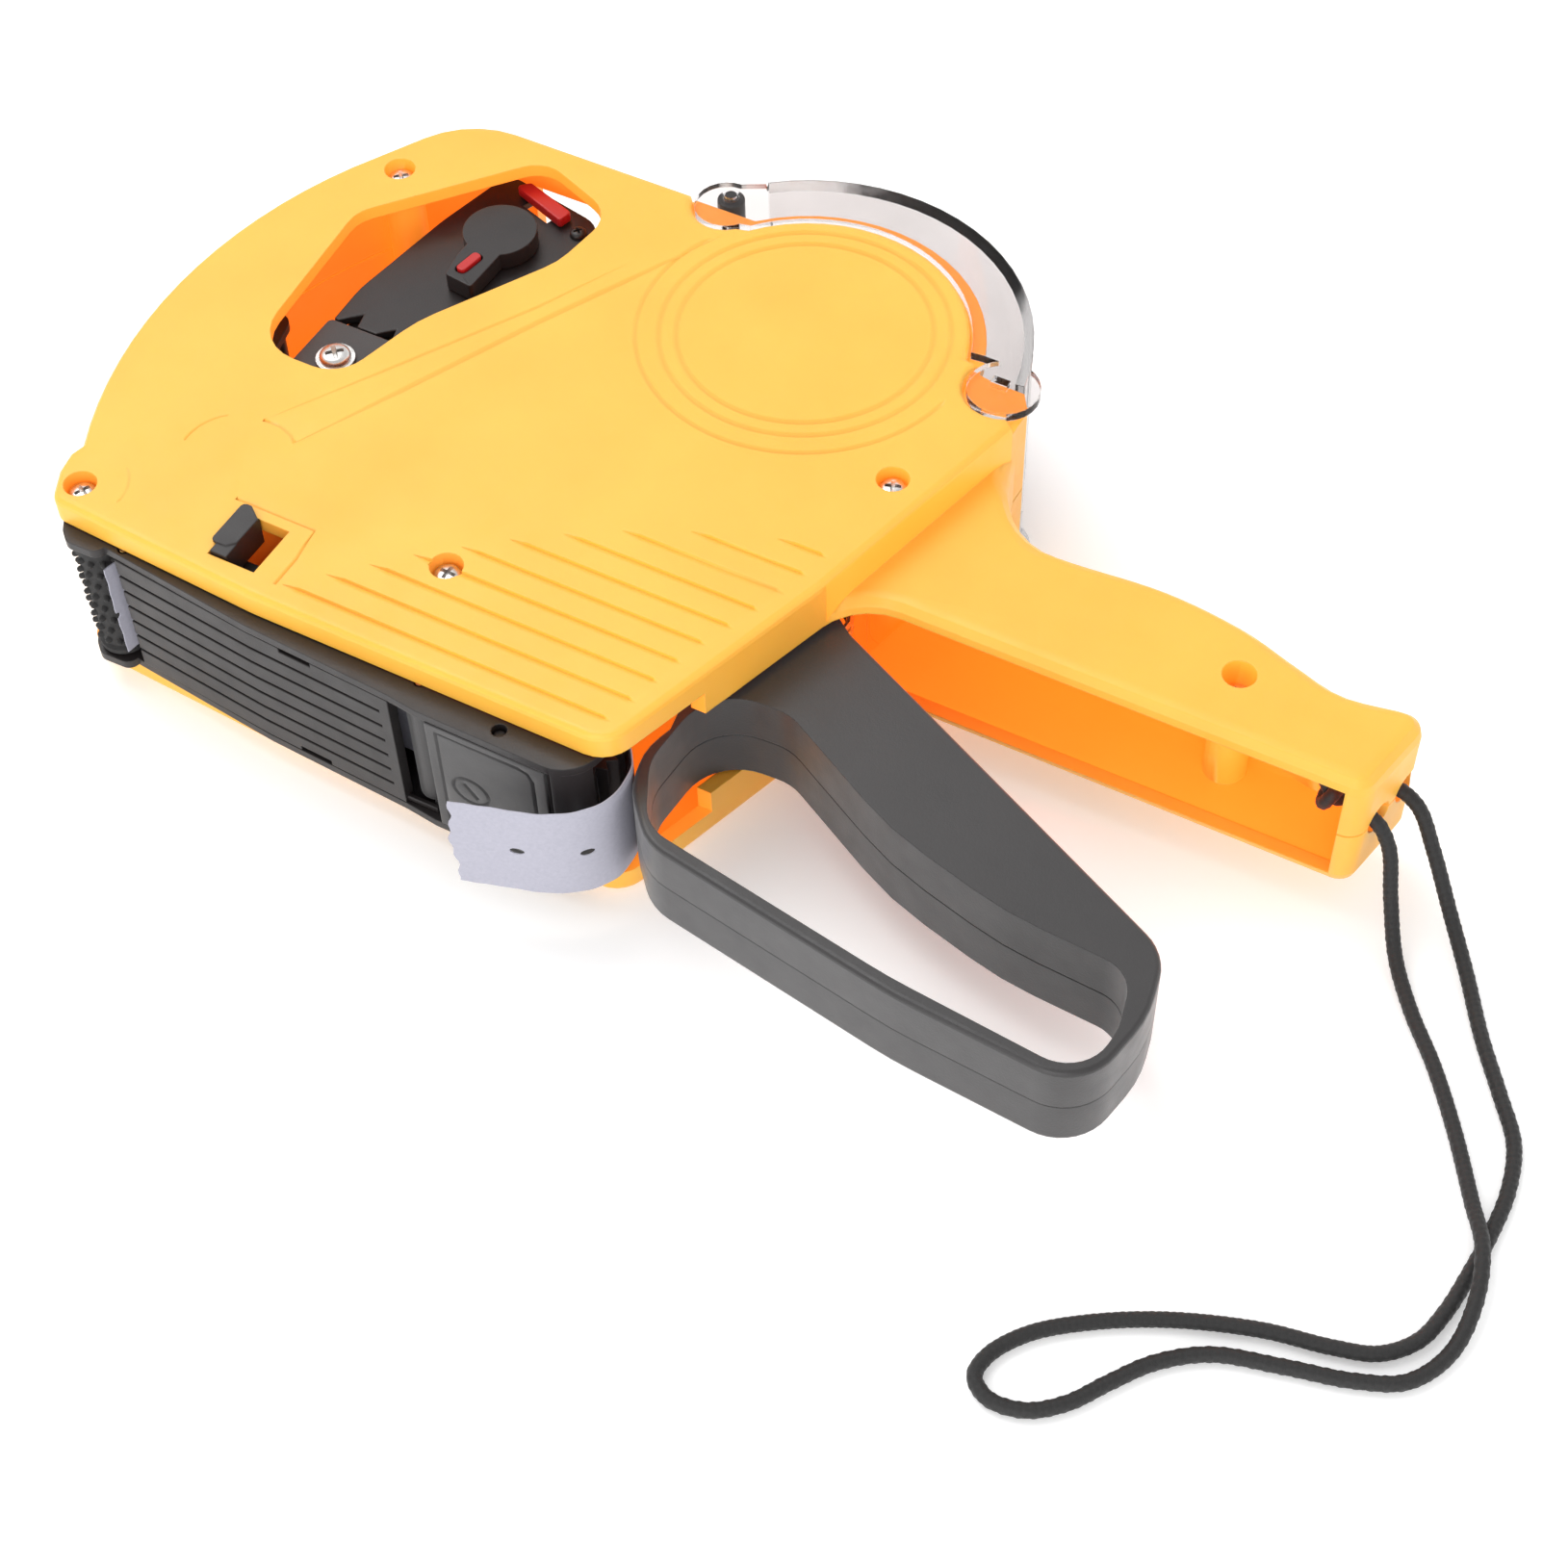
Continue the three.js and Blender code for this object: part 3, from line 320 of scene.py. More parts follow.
def paper(name, dark, light, lines_per_metre=0.0):
    """Paper with faint fibres. A wound roll also shows the edges of its turns."""
    nodes = Nodes(name)
    fibres = nodes.noise(1500, 6, 0.65)
    nodes.drive("Base Color", nodes.two_colours(fibres, dark, light))
    nodes.set("Roughness", 0.7)
    normal = nodes.bump(fibres, 0.25, 0.00005)
    if lines_per_metre:
        shift = nodes.add("ShaderNodeMapping")
        shift.inputs["Location"].default_value = (-ROLL_AXIS.x, -ROLL_AXIS.y, 0)
        nodes.link(nodes.coordinates, shift.inputs["Vector"])
        turns = nodes.add(
            "ShaderNodeTexWave", wave_type="RINGS", rings_direction="Z",
            Scale=lines_per_metre, Distortion=1.5, Detail=2.0)
        nodes.link(shift.outputs["Vector"], turns.inputs["Vector"])
        normal = nodes.bump(turns.outputs["Fac"], 0.6, 0.0001, normal)
    nodes.drive("Normal", normal)
    return nodes.material


def clear_plastic(name):
    """Smoky clear plastic with faint flow marks."""
    nodes = Nodes(name)
    colours = nodes.two_colours(nodes.noise(60, 3), (0.78, 0.755, 0.75), (0.83, 0.805, 0.8))
    nodes.drive("Base Color", colours)
    nodes.set("Transmission Weight", 1)
    nodes.set("IOR", 1.25)
    nodes.drive("Roughness", nodes.spread(nodes.noise(300, 3), 0.03, 0.1))
    soft = nodes.add("ShaderNodeBevel", samples=4, Radius=SOFT_EDGE).outputs["Normal"]
    nodes.drive("Normal", nodes.bump(nodes.noise(120, 2), 0.08, 0.0002, soft))
    return nodes.material


def braid(name):
    """Black cord, with the fine threads that its strands are made of."""
    nodes = Nodes(name)
    threads = nodes.noise(5000, 4, 0.7)
    nodes.drive(
        "Base Color", nodes.two_colours(threads, (0.003, 0.003, 0.003), (0.014, 0.013, 0.013)))
    nodes.set("Roughness", 0.6)
    nodes.set("Sheen Weight", 0.08)
    nodes.drive("Normal", nodes.bump(threads, 0.6, 0.0001))
    return nodes.material


# The painted glow of the hollow, which stands in for light coming through the walls. It is none
# within one distance of the catch's slot, as painted shade, and full from another, both in metres.
PAINTED_GLOW = 0.6
PAINTED_GLOW_COLOUR = (1.0, 0.2, 0.012, 1)
CATCH_SLOT = (-56, -75, 20)
DARK_WITHIN = 0.03
FULL_FROM = 0.048


def shell_inside(name):
    """The hollow side of the shells, with a deeper orange and a painted glow, both painted light
    that stands in for light coming through the walls.

    Near the slot of the catch the painted glow fades out, as painted shade where the base frame
    keeps the light out.
    """
    # A deeper orange than the outer plastic, painted for light that comes through the walls.
    nodes = plastic_nodes(name, (0.94, 0.4, 0.045), (0.96, 0.44, 0.055), 0.45, 0.3)
    # The painted glow fades out near the catch's slot, as painted shade.
    from_slot = nodes.add("ShaderNodeVectorMath", operation="DISTANCE")
    from_slot.inputs[1].default_value = place(*CATCH_SLOT)
    nodes.link(nodes.coordinates, from_slot.inputs[0])
    painted_glow = nodes.add(
        "ShaderNodeMapRange", From_Min=DARK_WITHIN, From_Max=FULL_FROM, To_Max=PAINTED_GLOW)
    nodes.link(from_slot.outputs["Value"], painted_glow.inputs["Value"])
    # Painted glow: emission that stands in for light coming through the walls.
    nodes.set("Emission Color", PAINTED_GLOW_COLOUR)
    nodes.drive("Emission Strength", painted_glow.outputs["Result"])
    return nodes.material


MATERIALS = {
    "shell_plastic": plastic(
        "shell_plastic", (0.91, 0.445, 0.052), (0.94, 0.485, 0.062), 0.4, 0.3, glow=0.12),
    "black_plastic": plastic(
        "black_plastic", (0.01, 0.0075, 0.0075), (0.015, 0.0115, 0.0115), 0.38, 0.5, sheen=0.02),
    "soft_rubber": rubber("soft_rubber", (0.014, 0.013, 0.013), (0.026, 0.025, 0.025)),
    "red_plastic": plastic("red_plastic", (0.4, 0.008, 0.01), (0.5, 0.014, 0.014), 0.35, 0.2),
    "screw_steel": steel("screw_steel"),
    "label_paper": paper("label_paper", (0.36, 0.355, 0.42), (0.41, 0.405, 0.47)),
    "core_card": paper("core_card", (0.3, 0.2, 0.11), (0.42, 0.3, 0.18)),
    "smoke_clear": clear_plastic("smoke_clear"),
    "cord_braid": braid("cord_braid"),
}
SHELL_INSIDE = shell_inside("shell_inside")
# A copy of the black plastic with a lighter colour, which is painted light, and more sheen; the
# lever, the latch and the roller wear it.
LEVER_PLASTIC = plastic(
    "lever_plastic", (0.012, 0.01, 0.0105), (0.018, 0.0155, 0.016), 0.38, 0.6, sheen=0.2)
ROLL_PAPER = paper("wound_paper", (0.5, 0.49, 0.56), (0.6, 0.59, 0.65), 900.0)


def finish_piece(obj, node, material=None):
    """Gives a piece the finish of a CAD node, lets it stand for that node and move with it."""
    name = SLOT_OF[node]
    obj.data.materials.clear()
    obj.data.materials.append(material or MATERIALS[name])
    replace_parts(obj, node)
    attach(obj, BODY_OF[node])
    return obj


# ---- lanyard: a round braided cord ----
CORD_RADIUS = 1.25
FLOOR = 1.4
LANYARD_ROUTE = [
    (116.8, -31.6, 20), (121, -30, 20), (125.5, -30.5, 18.2), (130, -33, 12.5), (135.8, -38, 5.6),
    (142, -45.5, 2), (148, -55, FLOOR), (154, -63.5, FLOOR), (159, -71, FLOOR), (161, -79, FLOOR),
    (161.2, -87, FLOOR), (160.7, -95, FLOOR), (159.8, -102.5, FLOOR), (158, -108.5, FLOOR),
    (153.8, -113, FLOOR), (147.5, -115.2, FLOOR), (137.5, -117.4, FLOOR), (125, -122.2, FLOOR),
    (115, -128, FLOOR), (108, -133.8, FLOOR), (104.4, -139.6, FLOOR), (104.2, -143.4, FLOOR),
    (107.3, -145.6, FLOOR), (112.8, -144.8, FLOOR), (117.6, -141, FLOOR), (121.6, -135.2, FLOOR),
    (126, -129.4, FLOOR), (132.6, -124.4, FLOOR), (142.6, -121.3, FLOOR), (152.4, -118.6, FLOOR),
    (159, -115.2, FLOOR), (162.8, -108.4, 1.7), (163.2, -100, 3.4), (161, -91.5, 4.3),
    (157, -84.2, 2.6), (150.3, -73, FLOOR), (143.5, -63.6, FLOOR), (136.5, -55.4, FLOOR),
    (131, -48, 2.6), (127, -41.8, 8), (124, -38, 15.5), (120.6, -37.3, 19.6), (116.6, -37.6, 20),
]
KNOT_CENTRE = (112.9, -35.2, MIDDLE + 0.5)
KNOT_RADIUS = 1.2
BRAID_STEP = 0.16
BRAID_SIDES = 20
BRAID_STRANDS = 6
BRAID_LAY = 2.1
BRAID_DEPTH = 0.16


def braid_height(angle, along):
    """Height of a round braid's surface, from 0 between its strands to 1 on top of one."""
    round_part = BRAID_STRANDS * angle / 2
    long_part = math.pi * along / BRAID_LAY
    left = round_part + long_part
    right = round_part - long_part
    over = abs(math.cos(left)) * (0.8 + 0.2 * math.sin(2 * right))
    under = abs(math.cos(right)) * (0.8 - 0.2 * math.sin(2 * left))
    return max(over, under)


def braided_tube(name, path, radius, sides=BRAID_SIDES):
    """A closed tube along path (in millimetres), with the surface of a braid."""
    vertices = []
    side = UP
    along = 0.0
    for i, point in enumerate(path):
        tangent = (path[min(i + 1, len(path) - 1)] - path[max(i - 1, 0)]).normalized()
        side = (side - tangent * side.dot(tangent)).normalized()
        across = tangent.cross(side)
        if i:
            along += (point - path[i - 1]).length
        for k in range(sides):
            angle = 2 * math.pi * k / sides
            r = radius * (1 - BRAID_DEPTH + BRAID_DEPTH * braid_height(angle, along))
            offset = side * (r * math.cos(angle)) + across * (r * math.sin(angle))
            vertices.append(place(*(point + offset)))
    faces = []
    for i in range(len(path) - 1):
        for k in range(sides):
            a = i * sides + k
            b = i * sides + (k + 1) % sides
            faces.append((a, b, b + sides, a + sides))
    faces.append(tuple(reversed(range(sides))))
    faces.append(tuple(range(len(vertices) - sides, len(vertices))))
    return outwards(new_object(name, vertices, faces))


def knot_path():
    """The closed line of a trefoil knot."""
    count = 160
    points = []
    for i in range(count):
        t = 2 * math.pi * i / count
        points.append(Vector(KNOT_CENTRE) + Vector((
            0.68 * (math.sin(t) + 2 * math.sin(2 * t)),
            0.92 * (math.cos(t) - 2 * math.cos(2 * t)),
            -1.6 * math.sin(3 * t),
        )))
    points.append(points[0].copy())
    return points


def make_lanyard():
    """The cord outside the handle and its knot inside."""
    path = even_steps(catmull_rom(LANYARD_ROUTE, 12), BRAID_STEP)
    cord = finish_piece(braided_tube("lanyard_braid", path, CORD_RADIUS), "lanyard")
    knot = braided_tube("lanyard_knot_braid", knot_path(), KNOT_RADIUS, 14)
    finish_piece(knot, "lanyard_knot")


make_lanyard()


# ---- CAD nodes shown with welded, softly shaded meshes ----
WELD = 2e-6
FLAT_WITHIN = math.radians(0.4)
ROUND_OVER = math.radians(38)


def copy_of(node):
    """A welded copy of a CAD node's mesh, with its flat faces whole."""
    mesh = frame["nodes"][node].data.copy()
    mesh.name = f"{node}_shown"
    bm = bmesh.new()
    bm.from_mesh(mesh)
    bmesh.ops.remove_doubles(bm, verts=bm.verts, dist=WELD)
    bmesh.ops.dissolve_limit(bm, angle_limit=FLAT_WITHIN, verts=bm.verts, edges=bm.edges)
    bm.to_mesh(mesh)
    bm.free()
    obj = bpy.data.objects.new(f"{node}_shown", mesh)
    bpy.context.collection.objects.link(obj)
    return obj


def round_edges(obj, width):
    """Rounds the sharp edges of a piece, by width in millimetres."""
    bevel = obj.modifiers.new("rounded_edges", "BEVEL")
    bevel.width = width * MM
    bevel.segments = 2
    bevel.limit_method = "ANGLE"
    bevel.angle_limit = ROUND_OVER
    bevel.use_clamp_overlap = True
    apply_modifiers(obj)


def apply_modifiers(obj):
    """Gives a piece the mesh that its modifiers make."""
    graph = bpy.context.evaluated_depsgraph_get()
    mesh = bpy.data.meshes.new_from_object(obj.evaluated_get(graph))
    obj.modifiers.clear()
    obj.data = mesh


def carve(obj, cutter):
    """Takes the cutter's shape out of a piece."""
    boolean = obj.modifiers.new("carved", "BOOLEAN")
    boolean.operation = "DIFFERENCE"
    boolean.solver = "EXACT"
    boolean.use_self = True
    boolean.object = cutter
    bpy.context.view_layer.update()
    apply_modifiers(obj)
    bpy.data.objects.remove(cutter)


def joined(objects, name):
    """One object that holds the meshes of several."""
    bm = bmesh.new()
    for obj in objects:
        bm.from_mesh(obj.data)
        bpy.data.objects.remove(obj)
    mesh = bpy.data.meshes.new(name)
    bm.to_mesh(mesh)
    bm.free()
    result = bpy.data.objects.new(name, mesh)
    bpy.context.collection.objects.link(result)
    return result


def shown(node, edge=0.0):
    """Shows a node with its CAD shape, its edges rounded by edge in millimetres."""
    obj = copy_of(node)
    if edge:
        round_edges(obj, edge)
    sharp_over(obj, 30)
    return finish_piece(obj, node)


# ---- grooves: V shaped cuts along a line on a flat face ----
LATCH_FACE = -98.4


def on_upper_face(x, y, height):
    """A place over the visible face."""
    return place(x, y, FACE + height)


def on_latch(x, z, height):
    """A place over the outer face of the latch."""
    return place(x, LATCH_FACE - height, z)


def groove(points, width, depth, surface, closed=False, lean=0.0, fade=False):
    """A cutter for a V shaped groove along points. surface gives the place of (u, v, height).

    lean moves the bottom of the V sideways, from 0 in the middle to 1 under its left edge.
    With fade, the groove runs out to almost nothing at both ends.
    """
    above = 0.3
    faded = 0.12
    count = len(points)
    vertices = []
    for i, (u, v) in enumerate(points):
        before = points[(i - 1) % count] if closed or i else points[0]
        after = points[(i + 1) % count] if closed or i < count - 1 else points[-1]
        du, dv = after[0] - before[0], after[1] - before[1]
        size = math.hypot(du, dv)
        share = faded if fade and i in (0, count - 1) else 1.0
        left_u = -dv / size * width * share / 2
        left_v = du / size * width * share / 2
        wide = 1 + above / (depth * share)
        right_reach = wide + lean * (wide - 1)
        left_reach = wide - lean * (wide - 1)
        vertices.append(surface(u - left_u * right_reach, v - left_v * right_reach, above))
        vertices.append(surface(u + left_u * left_reach, v + left_v * left_reach, above))
        vertices.append(surface(u + left_u * lean, v + left_v * lean, -depth * share))
    faces = []
    for i in range(count if closed else count - 1):
        a = 3 * i
        b = 3 * ((i + 1) % count)
        faces += [(a, b, b + 1, a + 1), (a + 1, b + 1, b + 2, a + 2), (a + 2, b + 2, b, a)]
    if not closed:
        last = 3 * (count - 1)
        faces += [(0, 1, 2), (last + 2, last + 1, last)]
    return outwards(new_object("groove", vertices, faces, smooth=False))


# The y of each rib, and the x of its ends.
RIBS = [
    (-44.5, 19, 28), (-49.5, 6, 27), (-54.5, -4, 25.5), (-59.5, -12, 24), (-64.5, -19, 22),
    (-69.5, -25, 20), (-74.5, -31, 18.5), (-79.5, -36, 17.3), (-84.5, -41, 16), (-89.5, -46, 14.5),
]


def face_grooves():
    """The moulded lines of the visible face: rings, ribs, a long slanting band and small arcs."""
    face = on_upper_face
    long_line = [(-62.2, -62.5), (-53, -43.4), (-41.5, -19), (-33.5, -3.3), (-24.6, 14.2)]
    second_line = [(-69.9, -60.4), (-58.4, -41.2), (-43.5, -15.7), (-34.8, 2.1)]
    band_end = [(-69.9, -60.4), (-66.8, -60.3), (-63.8, -61.3), (-62.2, -62.5)]
    round_catch = [(-63.5, -77.3), (-48, -77.3), (-47.2, -84), (-47.2, -90)]
    lines = [
        groove(arc(0, 0, 29, 153, 352, 70), 1.0, 0.5, face, fade=True),
        groove(arc(0, 0, 25, 0, 355, 72), 1.2, 0.55, face, closed=True),
        groove(arc(0, 0, 22, 0, 355, 72), 1.2, 0.55, face, closed=True),
        groove(long_line, 1.2, 0.6, face, fade=True),
        groove(second_line, 0.7, 0.35, face, fade=True),
        groove(band_end, 0.8, 0.4, face),
        groove(arc(-70, -69, 9, 130, 190, 30), 0.6, 0.35, face, fade=True),
        groove(arc(-88.2, -86.5, 8, 55, -5, 12), 0.6, 0.25, face, fade=True),
        groove(round_catch, 0.7, 0.5, face),
    ]
    for y, x0, x1 in RIBS:
        line = [(x0, y), (x0 + 3, y), (x1 - 1.5, y), (x1, y)]
        lines.append(groove(line, 1.4, 0.55, face, lean=0.8, fade=True))
    return lines


# ---- the hollow of the shells, found with rays ----
# Where a ray starts off a face, and between which distances a wall counts, in metres.
OFF_SURFACE = 0.0005
NEAR = 0.004
FAR = 0.12


def tree_of(obj):
    """A mesh, made ready for rays that look for it."""
    corners = [vertex.co.copy() for vertex in obj.data.vertices]
    return BVHTree.FromPolygons(corners, [tuple(face.vertices) for face in obj.data.polygons])


def distance_to(tree, start, direction, reach):
    """The distance to a surface, or reach where there is none."""
    distance = tree.ray_cast(start, direction, reach)[3]
    return reach if distance is None else distance


def ways_out(face):
    """The ways to look from a face for the far wall of the hollow.

    A side wall also looks straight out on the nose's half, where no handle stands in the way.
    """
    if abs(face.normal.z) > 0.5:
        return [UP if face.normal.z > 0 else DOWN]
    ways = [UP, DOWN]
    if face.center.x < ROLL_AXIS.x:
        ways.append(face.normal)
    return ways


def places_on(obj, face):
    """The middle of a face and a place near each of its corners, just off its surface."""
    middle = face.center
    corners = [obj.data.vertices[i].co.lerp(middle, 0.05) for i in face.vertices]
    return [point + face.normal * OFF_SURFACE for point in [middle, *corners]]


def line_inside(shells, cover):
    """Gives the inner material, with its painted glow, to the faces of the hollow and to the ledge
    under the cover.

    A face of the hollow has a wall of the shells at some distance from it.
    """
    walls = [tree_of(shell) for shell in shells]
    cover_tree = tree_of(cover)
    for shell in shells:
        # The inner material carries the painted glow that stands in for light through the walls.
        shell.data.materials.append(SHELL_INSIDE)
        for face in shell.data.polygons:
            places = places_on(shell, face)
            under_cover = any(
                distance_to(cover_tree, point, face.normal, NEAR) < NEAR for point in places)
            inside = any(
                NEAR < distance_to(wall, places[0], way, FAR) < FAR
                for wall in walls for way in ways_out(face)
            )
            if inside or under_cover:
                face.material_index = 1


# ---- shells and latch ----
def make_shells():
    """Both halves of the body, with the moulded lines on the visible face."""
    upper = copy_of("upper_shell")
    carve(upper, joined(face_grooves(), "face_grooves"))
    sharp_over(upper, 24)
    finish_piece(upper, "upper_shell")
    lower = shown("lower_shell")
    line_inside([upper, lower], frame["nodes"]["roll_cover"])


def make_latch():
    """The rocker's outer face carries a rounded frame line and an oval ring with a slanting bar."""
    latch = copy_of("base_latch")
    round_edges(latch, 0.25)
    border = [
        (-12.6, 31.4), (2.6, 31.4), (4.2, 30.9), (5, 29.4),
        (5, 10.6), (4.2, 9.1), (2.6, 8.6), (-12.6, 8.6),
    ]
    ring = [
        (-7.4 + 3.3 * math.cos(2 * math.pi * i / 40), 19.6 + 2.9 * math.sin(2 * math.pi * i / 40))
        for i in range(40)
    ]
    lines = [
        groove(border, 0.8, 0.65, on_latch, closed=True),
        groove(ring, 0.8, 0.65, on_latch, closed=True),
        groove([(-8.6, 21), (-6.2, 18.2)], 0.9, 0.6, on_latch),
    ]
    carve(latch, joined(lines, "latch_lines"))
    sharp_over(latch, 30)
    finish_piece(latch, "base_latch", LEVER_PLASTIC)


def make_latch_pin_and_roller():
    """The pin is painted black, as painted shade in its hole, and the roller wears the latch's
    satin black plastic, whose lighter colour is painted light.
    """
    finish_piece(copy_of("guide_roller"), "guide_roller", LEVER_PLASTIC)
    # Painted shade: black plastic on the pin for the shade in its hole.
    finish_piece(copy_of("base_latch_pin"), "base_latch_pin", MATERIALS["black_plastic"])


# ---- squeeze lever ----
def make_lever():
    """The lever has the fine seam of its mould all round, at mid-thickness."""
    lever = copy_of("squeeze_lever")
    bm = bmesh.new()
    bm.from_mesh(lever.data)
    half_width = 0.16
    depth = 0.14
    for z in (MIDDLE - half_width, MIDDLE, MIDDLE + half_width):
        bmesh.ops.bisect_plane(
            bm, geom=[*bm.verts, *bm.edges, *bm.faces], plane_co=(0, 0, z * MM), plane_no=UP)
    bm.normal_update()
    for vertex in bm.verts:
        if abs(vertex.co.z - MIDDLE * MM) < 0.01 * MM:
            vertex.co -= vertex.normal * depth * MM
    bm.to_mesh(lever.data)
    bm.free()
    sharp_over(lever, 20)
    finish_piece(lever, "squeeze_lever", LEVER_PLASTIC)


# ---- paper strips ----
PAPER_THICKNESS = 0.2
PAPER_STEP = 0.7
PAPER_ROWS = 24
EDGE_WAVE = 0.12
TORN_OVER = 10
LABEL_ROUTE = [
    (-25.8, -1), (-24.6, -12), (-18, -45), (-13.5, -72), (-13.6, -79), (-16, -83.6),
    (-20, -85.2), (-40, -85.2), (-74, -85.2), (-77.2, -85.4), (-78.9, -87), (-79.2, -89.4),
    (-80, -92.4), (-80.3, -94.2),
]
BACKING_ROUTE = [
    (-75.5, -89.1), (-40, -89.2), (-9, -89.2), (-4, -87.6), (-0.8, -84), (2.6, -81.2),
    (7.5, -80.4), (12, -82), (15, -85.4), (17.2, -88.6), (17.8, -91.6), (17.5, -96),
    (14.8, -100.2), (9.8, -103.6), (2.5, -106), (-5.2, -108.4),
]


def paper_strip(node, route, torn):
    """A thin strip along a route, with slightly wavy edges and a torn end.

    torn is how far the end is torn back at most, in millimetres.
    """
    low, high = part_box(node)
    z0, z1 = low.z / MM, high.z / MM
    path = even_steps(catmull_rom([(x, y, 0) for x, y in route], 10), PAPER_STEP)
    rows = PAPER_ROWS
    last = len(path) - 1
    outer, inner = [], []
    for i, point in enumerate(path):
        tangent = (path[min(i + 1, last)] - path[max(i - 1, 0)]).normalized()
        side = Vector((-tangent.y, tangent.x, 0)) * (PAPER_THICKNESS / 2)
        near_end = max(0.0, 1 - (last - i) / TORN_OVER)
        for k in range(rows + 1):
            t = k / rows
            margin = EDGE_WAVE * (1 + math.sin(i * 0.9)) / 2
            z = z0 + margin + (z1 - z0 - 2 * margin) * t
            back = near_end * torn * (0.5 + 0.3 * math.sin(9 * t) + 0.2 * math.sin(31 * t + 1))
            here = point - tangent * back
            outer.append(place(here.x + side.x, here.y + side.y, z))
            inner.append(place(here.x - side.x, here.y - side.y, z))
    width = rows + 1
    faces = []
    half = len(outer)
    for i in range(last):
        for k in range(rows):
            a = i * width + k
            faces.append((a, a + 1, a + width + 1, a + width))
            faces.append((half + a, half + a + width, half + a + width + 1, half + a + 1))
        for k in (0, rows):
            a = i * width + k
            faces.append((a, a + width, half + a + width, half + a))
    for i in (0, last):
        for k in range(rows):
            a = i * width + k
            faces.append((a, a + 1, half + a + 1, half + a))
    return outwards(new_object(f"{node}_shown", outer + inner, faces))


def punch(x, y, z, length, height, turn):
    """A cutter for a small slit in a strip of paper, with its long side turned in the plan."""
    along = Vector((math.cos(turn), math.sin(turn), 0))
    through = Vector((-math.sin(turn), math.cos(turn), 0))
    centre = Vector((x, y, z))
    sides = 12
    vertices = []
    for depth in (-1.5, 1.5):
        for k in range(sides):
            angle = 2 * math.pi * k / sides
            offset = along * (length / 2 * math.cos(angle)) + UP * (height / 2 * math.sin(angle))
            vertices.append(place(*(centre + offset + through * depth)))
    faces = [tuple(range(sides)), tuple(reversed(range(sides, 2 * sides)))]
    faces += [(k, (k + 1) % sides, sides + (k + 1) % sides, sides + k) for k in range(sides)]
    return outwards(new_object("slit", vertices, faces, smooth=False))


def make_paper():
    """Both strips, with the notch and the slits that are punched in them, and the wound roll."""
    labels = paper_strip("label_strip", LABEL_ROUTE, 0.3)
    carve(labels, punch(-80.2, -94.2, MIDDLE - 1, 1.6, 1.5, math.radians(80)))
    backing = paper_strip("backing_strip", BACKING_ROUTE, 1.3)
    slits = [
        punch(5.4, -105, MIDDLE, 2.5, 1.5, math.radians(18)),
        punch(15.1, -99.9, MIDDLE - 0.4, 2.5, 1.5, math.radians(48)),
    ]
    carve(backing, joined(slits, "slits"))
    for strip, node in ((labels, "label_strip"), (backing, "backing_strip")):
        sharp_over(strip, 40)
        finish_piece(strip, node)
    roll = copy_of("label_roll")
    sharp_over(roll, 30)
    finish_piece(roll, "label_roll", ROLL_PAPER)


# ---- screws with a cross recess ----
def drawn_box(node):
    """The middle of a node's box in x and y, and its lowest and highest z, in millimetres."""
    low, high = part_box(node)
    centre = (low + high) / 2
    x, y = (centre.x - ROLL_AXIS.x) / MM, (centre.y - ROLL_AXIS.y) / MM
    return x, y, low.z / MM, high.z / MM


def pan_screw(node, head_radius, shank_radius, head_height):
    """A screw with a domed head, a cross recess and a blunt tip, in the CAD screw's place."""
    x, y, z0, z1 = drawn_box(node)
    neck = z1 - head_height
    profile = [
        (0, z0), (shank_radius * 0.3, z0 + 0.2), (shank_radius, z0 + shank_radius * 1.6),
        (shank_radius, neck), (head_radius - 0.15, neck), (head_radius, neck + 0.15),
        (head_radius, neck + head_height * 0.35), (head_radius * 0.93, neck + head_height * 0.65),
        (head_radius * 0.75, neck + head_height * 0.88), (head_radius * 0.4, z1 - 0.02), (0, z1),
    ]
    sides = 40
    rows = profile[1:-1]
    vertices = [place(x, y, profile[0][1])]
    for r, z in rows:
        for px, py in arc(x, y, r, 0, 360 - 360 / sides, sides - 1):
            vertices.append(place(px, py, z))
    vertices.append(place(x, y, profile[-1][1]))
    faces = [(0, 1 + (k + 1) % sides, 1 + k) for k in range(sides)]
    for i in range(len(rows) - 1):
        for k in range(sides):
            a = 1 + i * sides + k
            b = 1 + i * sides + (k + 1) % sides
            faces.append((a, b, b + sides, a + sides))
    top = 1 + (len(rows) - 1) * sides
    faces += [(top + k, top + (k + 1) % sides, len(vertices) - 1) for k in range(sides)]
    screw = outwards(new_object(f"{node}_shown", vertices, faces))
    turn = recess_turn(node)
    for quarter in range(2):
        carve(screw, cross_blade(x, y, z1, head_radius, turn + quarter * math.pi / 2))
    sharp_over(screw, 35)
    finish_piece(screw, node)


def recess_turn(node):
    """How far a screw's recess is turned. It differs from screw to screw."""
    return math.radians(35 + 50 * (len(node) % 3) + 23 * ord(node[-1]) % 90)


def cross_blade(x, y, top, head_radius, turn):
    """One of the two tapered blades that make a cross recess."""
    vertices = []
    for z, reach, half in (
        (top + 0.5, head_radius * 0.72, head_radius * 0.17),
        (top - head_radius * 0.5, head_radius * 0.3, head_radius * 0.09),
    ):
        for along, across in ((-reach, -half), (reach, -half), (reach, half), (-reach, half)):
            vertices.append(place(
                x + along * math.cos(turn) - across * math.sin(turn),
                y + along * math.sin(turn) + across * math.cos(turn), z))
    faces = [(0, 1, 2, 3), (7, 6, 5, 4), (0, 4, 5, 1), (1, 5, 6, 2), (2, 6, 7, 3), (3, 7, 4, 0)]
    return outwards(new_object("blade", vertices, faces, smooth=False))


